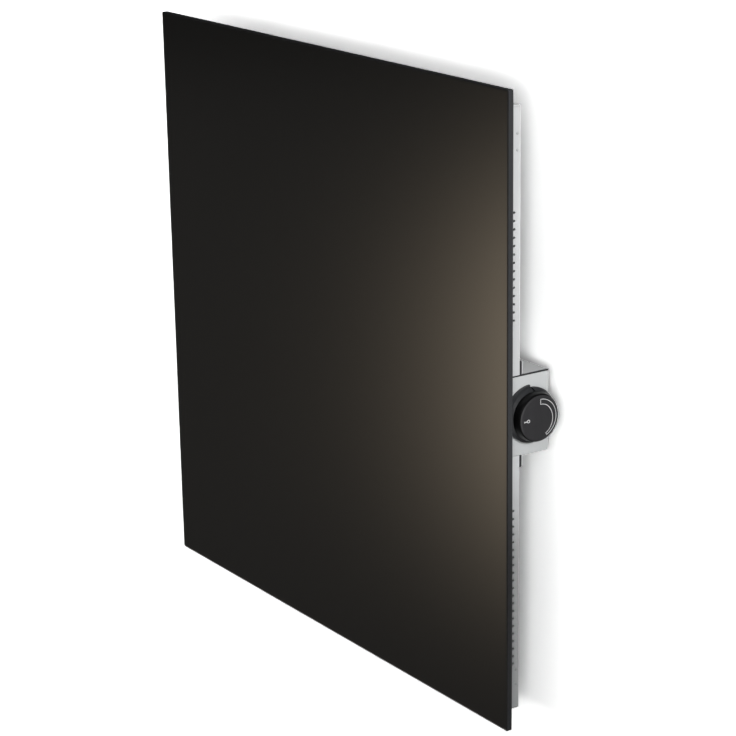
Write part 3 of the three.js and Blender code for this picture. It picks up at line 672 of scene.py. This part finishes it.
def build_screws():
    rows = [(f"flange_screw_{k + 1}", "y", 1, -38.2 if k < 2 else -36.9, x, z, 3, 2, 1.5, 6 if k < 2 else 7) for k, (x, z) in enumerate(FLANGE_HOLES[:4])]
    rows += [(f"cover_screw_{k + 1}", "y", 1, -36.9, x, z, 3, 2, 1.5, 7) for k, (x, z) in enumerate(FLANGE_HOLES[4:])]
    rows += [(f"plate_screw_{k + 1}", "z", -1, -37.2, 278, y, 3, 2, 1.5, 6) for k, y in enumerate((-16, -30))]
    rows += [(f"thermostat_screw_{k + 1}", "x", 1, 290.3, -29.7, 1.2 + s * 14, 3.4, 2.2, 1.5, 6.6) for k, s in enumerate((1, -1))]
    for name, axis, d, seat, u, v, hr, hh, sr, length in rows:
        bm = screw_mesh(axis, d, seat, u, v, hr, hh, sr, length)
        piece(name.replace("screw", "panhead"), bm, [M["screw"]], stands_for=name)


# ------------------------------------------------------------------ control housing
def build_housing():
    y0, y1 = -40.1, -38.5
    outline = [(115, -47.8), (289.9, -47.8), (289.9, -35.9), (142, -35.9), (142, 40.1), (289.9, 40.1), (289.9, 52.8), (115, 52.8)]
    bm = bmesh.new()
    add_prism(bm, "xz", fillet(outline, [3.0, 1.2, 0.3, 1.5, 1.5, 0.3, 1.2, 3.0], 4), y0, y1)
    sharp_edges(bm, 0.3, 2, 60)
    bm = carve(bm, ("DIFFERENCE", rods([("y", [(1.9, y0 - 1), (1.9, y1 + 1)], x, z) for x, z in FLANGE_HOLES], 20)))
    piece("flange_plate", bm, [M["flange"]], stands_for="housing_flange")

    # folded cover: open to the right, where the side plate closes it, with a lip turned out above and below
    y2, rear, top = -38.2, -8.0, 40.4
    outer = bmesh.new()
    add_box(outer, 140, 289.6, y2, rear, -36.9, top)
    round_edges(outer, lambda m, d, e: abs(m.y - rear) < 1e-3 and abs(d.x) > 0.9, 1.6, 4)
    round_edges(outer, lambda m, d, e: abs(m.x - 140) < 1e-3 and abs(d.y) > 0.9, 1.6, 4)
    inner, strip, trim, lug = bmesh.new(), bmesh.new(), bmesh.new(), bmesh.new()
    add_box(inner, 141, 292, y2 - 3, rear - 1, -35.9, top - 1)
    round_edges(inner, lambda m, d, e: abs(m.y - (rear - 1)) < 1e-3 and abs(d.x) > 0.9, 0.6, 3)
    add_box(strip, 288.2, 292, rear - 2.6, rear + 1, -35.2, top - 1.7)
    add_box(trim, 289.3, 292, y2 - 1, rear + 1, top - 2, top + 1)
    add_prism(lug, "xz", fillet([(119, -9), (141.5, -9), (141.5, 12), (119, 12)], [3, 0, 0, 3], 5), y2, y2 + 1)
    inner2, lip1, lip2 = bmesh.new(), bmesh.new(), bmesh.new()
    add_box(inner2, 141, 160, y2 - 1, y2 + 3, -35.9, top - 1)
    add_prism(lip1, "xz", fillet([(262, top - 0.4), (289.25, top - 0.4), (289.25, top - 0.1), (289.6, top - 0.1), (289.6, 52.3), (262, 52.3)], [0, 0, 0, 0, 0.8, 2.5], 4), y2, y2 + 1)
    add_prism(lip2, "xz", fillet([(262, -47.3), (289.6, -47.3), (289.6, -36.4), (262, -36.4)], [2.5, 0.8, 0, 0], 4), y2, y2 + 1)
    holes = rods([("z", [(6.4, -38.5), (6.4, -34.5)], 164, -23.3), ("z", [(1.9, -38.5), (1.9, -34.5)], 278, -16),
                  ("z", [(1.9, -38.5), (1.9, -34.5)], 278, -30), ("y", [(1.9, -40.0), (1.9, -36.0)], 127, -3),
                  ("y", [(1.9, -40.0), (1.9, -36.0)], 127, 6), ("y", [(1.9, -40.0), (1.9, -36.0)], 278, 46),
                  ("y", [(1.9, -40.0), (1.9, -36.0)], 278, -41)], 24)
    bm = carve(outer, ("DIFFERENCE", inner), ("DIFFERENCE", strip), ("DIFFERENCE", trim), ("UNION", lug), ("DIFFERENCE", inner2),
               ("UNION", lip1), ("UNION", lip2), ("DIFFERENCE", holes))
    piece("cover_shell", bm, [M["casing"]], stands_for="control_cover", smooth=28)

    # side plate with its folded foot
    plate, foot = bmesh.new(), bmesh.new()
    add_prism(plate, "yz", fillet([(-55.6, -35.6), (-8, -35.6), (-8, 38.6), (-55.6, 38.6)], [0.6, 1.2, 1.2, 0.6], 4), 288.5, 290.0)
    round_edges(plate, lambda m, d, e: abs(m.x - 290) < 1e-3 and abs(d.x) < 0.1, 0.35, 3)
    add_box(foot, 266, 289.2, -36, -10.5, -35.6, -34.4)
    round_edges(foot, lambda m, d, e: abs(d.z) > 0.9 and m.x < 270, 2.0, 4)
    holes = rods([("x", [(7, 287), (7, 292)], -29.7, 1.2), ("x", [(2.2, 287), (2.2, 292)], -29.7, 15.2), ("x", [(2.2, 287), (2.2, 292)], -29.7, -12.8),
                  ("z", [(1.9, -38), (1.9, -32)], 278, -16), ("z", [(1.9, -38), (1.9, -32)], 278, -30)], 24)
    bm = carve(plate, ("UNION", foot), ("DIFFERENCE", holes))
    piece("plate_panel", bm, [M["plate"]], stands_for="side_plate", smooth=28)


# ------------------------------------------------------------------ collar, knob, marks
AX_Y, AX_Z = -29.7, 1.2


def polar(r, deg):
    return (AX_Y + r * math.cos(rad(deg)), AX_Z + r * math.sin(rad(deg)))


def build_collar():
    prof = [(18.8, 290.3), (25.5, 290.3), (25.78, 290.42), (25.9, 290.7), (25.9, 293.5), (25.82, 293.8), (25.55, 294.1), (25.2, 294.35),
            (23.55, 295.85), (23.2, 296.05), (22.9, 296.1), (19.1, 296.1), (18.8, 295.8)]
    body = bmesh.new()
    add_turned(body, "x", prof, AX_Y, AX_Z, 120)
    tab = bmesh.new()
    out = [polar(28.4, a) for a in range(92, 149, 2)]
    inn = [polar(24.6, a) for a in range(148, 91, -2)]
    add_prism(tab, "yz", fillet(out + inn, [0.8] + [0] * (len(out) - 2) + [0.8] + [0] * len(inn), 4), 290.3, 293.7)
    sharp_edges(tab, 0.3, 2, 60)
    # index mark: a slot through the rim, turned over along the tab
    groove, arm = bmesh.new(), bmesh.new()
    add_box(groove, -3.5, 3.5, -0.75, 0.75, -4.0, 4.0)
    bmesh.ops.transform(groove, matrix=Matrix.Translation((295.4, AX_Y - 0.2, AX_Z + 25.4)) @ Matrix.Rotation(rad(27), 4, "X"), verts=groove.verts)
    add_box(arm, 292.7, 294.7, AX_Y - 5.3, AX_Y - 0.9, AX_Z + 27.2, AX_Z + 28.0)
    bm = carve(body, ("UNION", tab), ("DIFFERENCE", groove), ("DIFFERENCE", arm))
    piece("collar_ring", bm, [M["collar"]], stands_for="dial_collar", smooth=30)


def build_knob():
    n = 144
    front = [(0, 305.5), (19.2, 305.5), (19.8, 305.45), (20.4, 305.28), (20.9, 305.0)]
    rim = [(21.35, 304.65), (21.75, 304.2), (22.05, 303.8), (22.25, 303.4), (22.33, 303.0)]
    skirt = [(23.3, 296.9), (23.25, 296.65), (23.0, 296.6), (21.0, 296.6), (20.7, 296.8)]
    inside = [(19.2, 303.4), (5.6, 303.4), (5.6, 293.4), (5.4, 293.2), (0, 293.2)]
    bm = bmesh.new()
    add_turned(bm, "x", front + rim + skirt + inside, AX_Y, AX_Z, n)
    # the face cap is dark grey; the side skirt takes the near-black finish with painted shade
    for f in bm.faces:
        c = f.calc_center_median()
        r = math.hypot(c.y - AX_Y, c.z - AX_Z)
        f.material_index = 0 if (c.x > 304.7 and r < 21.3) else 1
    bore = bmesh.new()
    flat = [(AX_Y + 3.3 * math.cos(rad(a)), AX_Z + 3.3 * math.sin(rad(a))) for a in range(-222, 43, 12)]
    add_prism(bore, "yz", flat, 292.0, 302.9)
    bm = carve(bm, ("DIFFERENCE", bore))
    piece("knob_moulding", bm, [M["knob_face"], M["knob_side"]], body="knob", stands_for="knob", smooth=34)


def stroke(bm, path, width, x0, x1, closed=False):
    """A flat line of even width along a path in the y-z plane, as a thin closed solid."""
    n = len(path)
    sides = []
    for i, (y, z) in enumerate(path):
        a = path[(i - 1) % n] if closed or i > 0 else path[i]
        b = path[(i + 1) % n] if closed or i < n - 1 else path[i]
        here = Vector((y, z))
        d1 = here - Vector(a)
        d2 = Vector(b) - here
        d1 = d1.normalized() if d1.length > 1e-9 else d2.normalized()
        d2 = d2.normalized() if d2.length > 1e-9 else d1
        t = (d1 + d2).normalized()
        nrm = Vector((-t.y, t.x))
        k = 1.0 / max(0.5, nrm.dot(Vector((-d2.y, d2.x))))
        sides.append((here + nrm * width / 2 * k, here - nrm * width / 2 * k))
    rows = [[bm.verts.new((x, p.x, p.y)) for x, p in ((x0, a), (x1, a), (x1, b), (x0, b))] for a, b in sides]
    last = n if closed else n - 1
    for i in range(last):
        a, b = rows[i], rows[(i + 1) % n]
        for k in range(4):
            j = (k + 1) % 4
            bm.faces.new((a[k], a[j], b[j], b[k]))
    if not closed:
        bm.faces.new(list(reversed(rows[0])))
        bm.faces.new(rows[-1])


def smooth_at(table, a):
    """Smooth interpolation through (angle, radius) pairs, in falling angle."""
    for i in range(len(table) - 1):
        (a0, r0), (a1, r1) = table[i], table[i + 1]
        if a1 <= a <= a0:
            t = (a0 - a) / (a0 - a1)
            before = table[i - 1] if i > 0 else (2 * a0 - a1, 2 * r0 - r1)
            after = table[i + 2] if i + 2 < len(table) else (2 * a1 - a0, 2 * r1 - r0)
            m0 = (r1 - before[1]) / (before[0] - a1) * (a0 - a1)
            m1 = (after[1] - r0) / (a0 - after[0]) * (a0 - a1)
            return ((2 * t ** 3 - 3 * t ** 2 + 1) * r0 + (t ** 3 - 2 * t ** 2 + t) * m0
                    + (-2 * t ** 3 + 3 * t ** 2) * r1 + (t ** 3 - t ** 2) * m1)
    return table[-1][1]


def build_marks():
    # a wedge scale, thick at full heat and thin at low, and a frost mark
    x0, x1 = 305.46, 305.56
    inner = [(88, 13.1), (60, 13.5), (30, 13.6), (0, 14.2), (-28, 15.1), (-46, 15.7), (-66, 16.3)]
    outer_at = lambda a: 18.0 + 0.08 * math.cos(rad(a)) - 0.18 * math.sin(rad(a))
    outline = [polar(outer_at(a), a) for a in range(88, -67, -2)]
    outline += [polar(smooth_at(inner, a), a) for a in range(-66, 89, 2)]
    bm = bmesh.new()
    stroke(bm, outline, 0.56, x0, x1, closed=True)
    piece("knob_wedge_mark", bm, [M["ink"]], body="knob", smooth=40)
    bm = bmesh.new()
    a = -178.0
    stroke(bm, [polar(17.9, a), polar(16.0, a), polar(14.3, a)], 0.75, x0, x1)
    cy, cz = polar(13.0, a)
    ring = [(cy + 1.3 * math.cos(rad(t)), cz + 1.3 * math.sin(rad(t))) for t in range(0, 360, 12)]
    stroke(bm, ring, 0.6, x0, x1, closed=True)
    for s in (-1, 1):
        stroke(bm, [polar(16.9, a), (polar(17.7, a)[0], polar(17.7, a)[1] + s * 0.75)], 0.42, x0, x1)
    piece("knob_frost_mark", bm, [M["ink"]], body="knob", smooth=40)


# ------------------------------------------------------------------ cable gland
def build_gland():
    gx, gy = 164.0, -23.3
    bm = bmesh.new()
    grip = lambda a, i: 1.0 if i not in (4, 5) else 1.0 + 0.022 * math.cos(24 * a)
    prof = [(3.6, -56.0), (5.6, -56.0), (6.6, -55.7), (7.6, -54.4), (8.3, -53.0), (8.45, -46.6), (8.2, -46.2), (7.4, -45.9), (7.4, -45.4)]
    add_turned(bm, "z", [*prof, (3.6, -45.4)], gx, gy, 96, shape=grip)
    hexagon = bmesh.new()
    pts = fillet([(gx + 9.35 * math.cos(rad(60 * k + 30)), gy + 9.35 * math.sin(rad(60 * k + 30))) for k in range(6)], 0.6, 3)
    add_prism(hexagon, "xy", pts, -45.8, -37.2)
    sharp_edges(hexagon, 0.35, 2, 80)
    thread = bmesh.new()
    steps = [(6.0, -37.6)]
    for k in range(7):
        steps += [(6.0, -36.6 + 1.1 * k), (5.6, -36.35 + 1.1 * k), (5.6, -36.05 + 1.1 * k), (6.0, -35.8 + 1.1 * k)]
    steps = [s for s in steps if s[1] < -28.8] + [(5.7, -28.6)]
    add_turned(thread, "z", [(0, -37.6), *steps, (0, -28.6)], gx, gy, 48)
    bm = carve(bm, ("UNION", hexagon), ("UNION", thread), ("DIFFERENCE", rods([("z", [(3.6, -57.0), (3.6, -28.0)], gx, gy)], 40)))
    piece("gland_dome", bm, [M["gland"]], stands_for="cable_gland", smooth=30)


# ------------------------------------------------------------------ hangers, spacers, rail
def build_hangers():
    z0, y0, steel = 155.0, -40.1, 1.5
    lip, top = -14 + 1.5 + 0.3, 25 + 13 + 0.3
    outline = [(y0, z0 - 5), (y0, z0 + top + steel), (lip + steel, z0 + top + steel), (lip + steel, z0 + 27.5), (lip, z0 + 27.5),
               (lip, z0 + top), (y0 + steel, z0 + top), (y0 + steel, z0 - 5)]
    for name, s in (("left", -1), ("right", 1)):
        x0 = s * 120 - 25
        bm = bmesh.new()
        add_prism(bm, "yz", fillet(outline, [0.2, 2.4, 2.4, 0.3, 0.3, 0.9, 0.9, 0.2], 6), x0, x0 + 50)
        sharp_edges(bm, 0.2, 1, 60)
        bm = carve(bm, ("DIFFERENCE", rods([("y", [(2.2, y0 - 1), (2.2, y0 + 3)], s * 120 - 12, 161), ("y", [(2.2, y0 - 1), (2.2, y0 + 3)], s * 120 + 12, 161)], 24)))
        piece(f"hanger_bracket_{name}", bm, [M["zinc"]], stands_for=f"hanger_{name}", smooth=25)
        for k, dx in enumerate((-12, 12)):
            y = y0 + steel + 0.3
            bm = bmesh.new()
            prof = [(0, y + 0.5), (0.8, y + 0.52), (0.95, y + 1.14), (1.4, y + 1.2), (2.2, y + 1.08), (2.9, y + 0.72), (3.35, y + 0.25), (3.4, y),
                    (1.9, y), (1.9, -42.8), (1.7, -43.0), (0, -43.0)]
            add_turned(bm, "y", prof, s * 120 + dx, 161, 32)
            piece(f"hanger_rivet_head_{name}_{k + 1}", bm, [M["rivet"]], stands_for=f"hanger_rivet_{name}_{k + 1}")
        bm = bmesh.new()
        ribs = [(11.0, -40.1), (11.0, -36.4), (10.7, -35.9), (10.2, -35.6), (9.9, -28.0), (9.55, -27.7), (9.55, -26.9), (9.75, -26.6), (9.35, -18.0),
                (9.05, -17.7), (9.05, -16.9), (9.25, -16.6), (8.75, -4.2), (8.5, -1.2), (8.0, -0.5), (7.4, -0.3)]
        add_turned(bm, "y", [(0, -43.0), (2.4, -43.0), (2.7, -42.7), (2.7, -40.1), *ribs, (0, -0.3)], s * 120, -200, 64)
        piece(f"wall_spacer_cone_{name}", bm, [M["rubber"]], stands_for=f"wall_spacer_{name}", smooth=30)


def build_rail():
    h, t, lip_y, lip_h = 25.0, 1.5, -14.0, 13.0
    outline = [(0, -h), (0, h), (lip_y + t, h), (lip_y + t, h + lip_h), (lip_y, h + lip_h), (lip_y, h - t), (-t, h - t), (-t, -h)]
    bm = bmesh.new()
    add_prism(bm, "yz", fillet(outline, [0.2, 2.2, 0.8, 0.3, 0.3, 2.2, 0.8, 0.2], 6), -180, 180)
    sharp_edges(bm, 0.2, 1, 60)
    slots = bmesh.new()
    for x in (-150, -60, 60, 150):
        pts = []
        for sx, a0 in ((1, -90), (-1, 90)):
            for k in range(13):
                a = rad(a0 + 15 * k)
                pts.append((x + sx * 2.8 + 3.2 * math.cos(a), 3.2 * math.sin(a)))
        add_prism(slots, "xz", pts, -4, 2)
    bm = carve(bm, ("DIFFERENCE", slots))
    piece("rail_profile", bm, [M["zinc"]], body="wall", stands_for="wall_rail", smooth=25, z=0.0)


build_glass()
build_casing()
build_rivets()
build_screws()
build_housing()
build_collar()
build_knob()
build_marks()
build_gland()
build_hangers()
build_rail()

# ------------------------------------------------------------------ finishes of the pieces that keep their built shape
CARRIED = {
    "heat_spreader_plate": "sheet", "heating_element": "cable", "reflector_foil": "foil", "insulation_board": "board",
    "thermal_cutout_1": "phenolic", "thermal_cutout_2": "phenolic", "bonded_frame": "zinc", "thermostat_body": "cream",
    "spindle": "shaft", "sensor_bulb_and_capillary": "copper", "bulb_clip": "zinc", "terminal_block": "cream",
    "earth_stud": "screw", "earth_nut": "brass", "gland_nut": "gland", "live_lead": "brown", "switched_lead": "brown",
    "neutral_lead": "blue", "earth_lead": "green", "element_tail_1": "white", "element_tail_2": "white",
    # the joint seal is black rubber set in the gap above the side plate: partly a real seal, partly painted shade
    # standing in for the dark gap
    "joint_seal": "rubber",
}
for node_name, finish in CARRIED.items():
    o = NODES[node_name]
    o.data.materials.clear()
    o.data.materials.append(M[finish])


# ------------------------------------------------------------------ wall, floor, light
def stage_plane(name, corners, build, shadow=True, glossy=True):
    me = bpy.data.meshes.new(name)
    me.from_pydata(corners, [], [(0, 1, 2, 3)])
    o = bpy.data.objects.new(name, me)
    scene.collection.objects.link(o)
    m = bpy.data.materials.new(name)
    m.use_nodes = True
    build(Net(m.node_tree))
    me.materials.append(m)
    o.visible_shadow = shadow
    o.visible_glossy = glossy
    return o


WALL_SEEN = 2.6


def wall_shader(net):
    out = net.node("ShaderNodeOutputMaterial")
    seen = net.node("ShaderNodeLightPath").outputs["Is Camera Ray"]
    white = net.node("ShaderNodeBsdfDiffuse", {"Color": net.mix(seen, (0.35, 0.35, 0.35), (WALL_SEEN, WALL_SEEN, WALL_SEEN))})
    clear = net.node("ShaderNodeBsdfTransparent")
    side = net.node("ShaderNodeNewGeometry")
    both = net.node("ShaderNodeMixShader", {0: side.outputs["Backfacing"], 1: white.outputs[0], 2: clear.outputs[0]})
    net.tree.links.new(both.outputs[0], out.inputs[0])


def floor_shader(net):
    out = net.node("ShaderNodeOutputMaterial")
    seen = net.node("ShaderNodeLightPath").outputs["Is Camera Ray"]
    pale = net.node("ShaderNodeBsdfDiffuse", {"Color": net.mix(seen, (0.5, 0.5, 0.5), (WALL_SEEN, WALL_SEEN, WALL_SEEN))})
    net.tree.links.new(pale.outputs[0], out.inputs[0])


# the wall faces the room (-y) and is clear from behind, so that the back can be seen
stage_plane("wall", [(-7, 0.0006, -0.9), (7, 0.0006, -0.9), (7, 0.0006, 5), (-7, 0.0006, 5)], wall_shader, shadow=False, glossy=False)
stage_plane("floor", [(-9, -9, -0.9), (9, -9, -0.9), (9, 9, -0.9), (-9, 9, -0.9)], floor_shader, glossy=False)

world = bpy.data.worlds.new("studio")
scene.world = world
world.use_nodes = True
net = Net(world.node_tree)
where = net.node("ShaderNodeTexCoord").outputs["Generated"]
xyz = net.node("ShaderNodeSeparateXYZ", {0: where})
dx, dy, dz = xyz.outputs
path = net.node("ShaderNodeLightPath")
DEG = 180.0 / math.pi
az = net.math("MULTIPLY", net.math("ARCTAN2", dx, net.math("MULTIPLY", dy, -1.0)), DEG)
el = net.math("MULTIPLY", net.math("ARCSINE", dz), DEG)


def falloff(value, centre, width, power):
    far = net.math("DIVIDE", net.math("ABSOLUTE", net.math("SUBTRACT", value, centre)), width)
    return net.math("EXPONENT", net.math("MULTIPLY", net.math("POWER", far, power), -1.0))


def step_up(value, at, width):
    """0 below, 1 above, smoothly."""
    return net.math("DIVIDE", 1.0, net.math("ADD", 1.0, net.math("EXPONENT", net.math("DIVIDE", net.math("SUBTRACT", at, value), width))))


# what glossy surfaces see: a dim room, a little lighter low down, and one warm soft glow
low = net.math("MULTIPLY", step_up(net.math("MULTIPLY", el, -1.0), 9.33, 0.675), 0.078)
dim = net.math("ADD", low, 0.0155)
glow = net.math("MULTIPLY", net.math("MULTIPLY", falloff(az, -52.79, 1.86, 1.1065), falloff(el, -16.63, 4.69, 2.264)), 1.40)
# a soft light in front and above, which the rims of the controls show
front = net.math("MULTIPLY", net.math("MULTIPLY", falloff(az, 5.0, 30.0, 4.0), falloff(el, 34.0, 16.0, 4.0)), 0.9)
tint = lambda value, colour: net.node("ShaderNodeVectorMath", {0: colour, "Scale": value}, operation="SCALE").outputs[0]
plus = lambda a, b: net.node("ShaderNodeVectorMath", {0: a, 1: b}, operation="ADD").outputs[0]
# and one to the right, which the left rim of the knob shows
beside = net.math("MULTIPLY", net.math("MULTIPLY", falloff(az, 68.0, 12.0, 4.0), falloff(el, -8.0, 42.0, 4.0)), 2.5)
seen_in_gloss = plus(plus(tint(dim, (1.02, 0.985, 0.93)), tint(glow, (1.19, 0.975, 0.717))), tint(net.math("ADD", front, beside), (1.0, 1.0, 1.0)))
# what lights everything: a white room in front of the wall, stronger from the right, dim from above
in_front = step_up(net.math("MULTIPLY", dy, -1.0), -0.02, 0.03)
from_above = net.math("SUBTRACT", net.math("SUBTRACT", 1.0, net.math("MULTIPLY", step_up(el, 4.0, 3.0), 0.78)),
                      net.math("MULTIPLY", step_up(el, 38.0, 6.0), 0.20))
from_right = net.math("MULTIPLY", falloff(az, 48.0, 10.0, 4.0), 10.9)
room = net.math("MULTIPLY", net.math("MULTIPLY", in_front, from_above), net.math("ADD", from_right, 2.1))
diffuse_light = tint(room, (1.0, 1.0, 1.0))
is_gloss = net.math("MULTIPLY", path.outputs["Is Glossy Ray"], net.math("SUBTRACT", 1.0, path.outputs["Is Transmission Ray"]))
choose = net.node("ShaderNodeMix", data_type="RGBA")
net.tree.links.new(is_gloss, choose.inputs[0])
net.tree.links.new(diffuse_light, choose.inputs[6])
net.tree.links.new(seen_in_gloss, choose.inputs[7])
camera_white = net.node("ShaderNodeMix", data_type="RGBA")
net.tree.links.new(path.outputs["Is Camera Ray"], camera_white.inputs[0])
net.tree.links.new(choose.outputs[2], camera_white.inputs[6])
camera_white.inputs[7].default_value = (1.0, 1.0, 1.0, 1.0)
bg = net.node("ShaderNodeBackground", {"Color": camera_white.outputs[2], "Strength": 1.0})
net.tree.links.new(bg.outputs[0], net.node("ShaderNodeOutputWorld").inputs[0])


def aimed(data, name, at, aim, glossy=True):
    o = bpy.data.objects.new(name, data)
    o.location = at
    o.rotation_euler = (Vector(aim) - Vector(at)).to_track_quat("-Z", "Y").to_euler()
    o.visible_glossy = glossy
    scene.collection.objects.link(o)
    return o


def back_lamp(name, at, aim, size, power):
    """Lights the back for the views from behind. It doesn't bounce, so the front stays as it is."""
    data = bpy.data.lights.new(name, "AREA")
    data.shape = "SQUARE"
    data.size = size
    data.energy = power
    data.use_nodes = True
    net = Net(data.node_tree)
    first = net.math("LESS_THAN", net.node("ShaderNodeLightPath").outputs["Ray Depth"], 1.5)
    emit = net.node("ShaderNodeEmission", {"Strength": first})
    net.tree.links.new(emit.outputs[0], net.node("ShaderNodeOutputLight").inputs[0])
    return aimed(data, name, at, aim)


back_lamp("back_light", (-0.9, 1.7, -0.6), (0.0, 0.0, -0.15), 1.0, 60.0)
back_lamp("back_fill", (-0.3, 2.1, -0.55), (0.0, 0.0, -0.15), 0.6, 30.0)


def spot(name, at, aim, cone, blend, power, soft):
    data = bpy.data.lights.new(name, "SPOT")
    data.energy = power
    data.spot_size = rad(cone)
    data.spot_blend = blend
    data.shadow_soft_size = soft
    return aimed(data, name, at, aim, glossy=False)


# one along the wall from the right, which ends low on the casing's side, and one from above onto the control's top
spot("side_key", (2.4, -0.060, 0.75), (0.29, -0.05, 0.35), 30.0, 0.12, 118.0, 0.05)
spot("top_key", (0.32, -0.014, 1.5), (0.30, -0.012, -0.115), 7.0, 1.0, 24.0, 0.02)
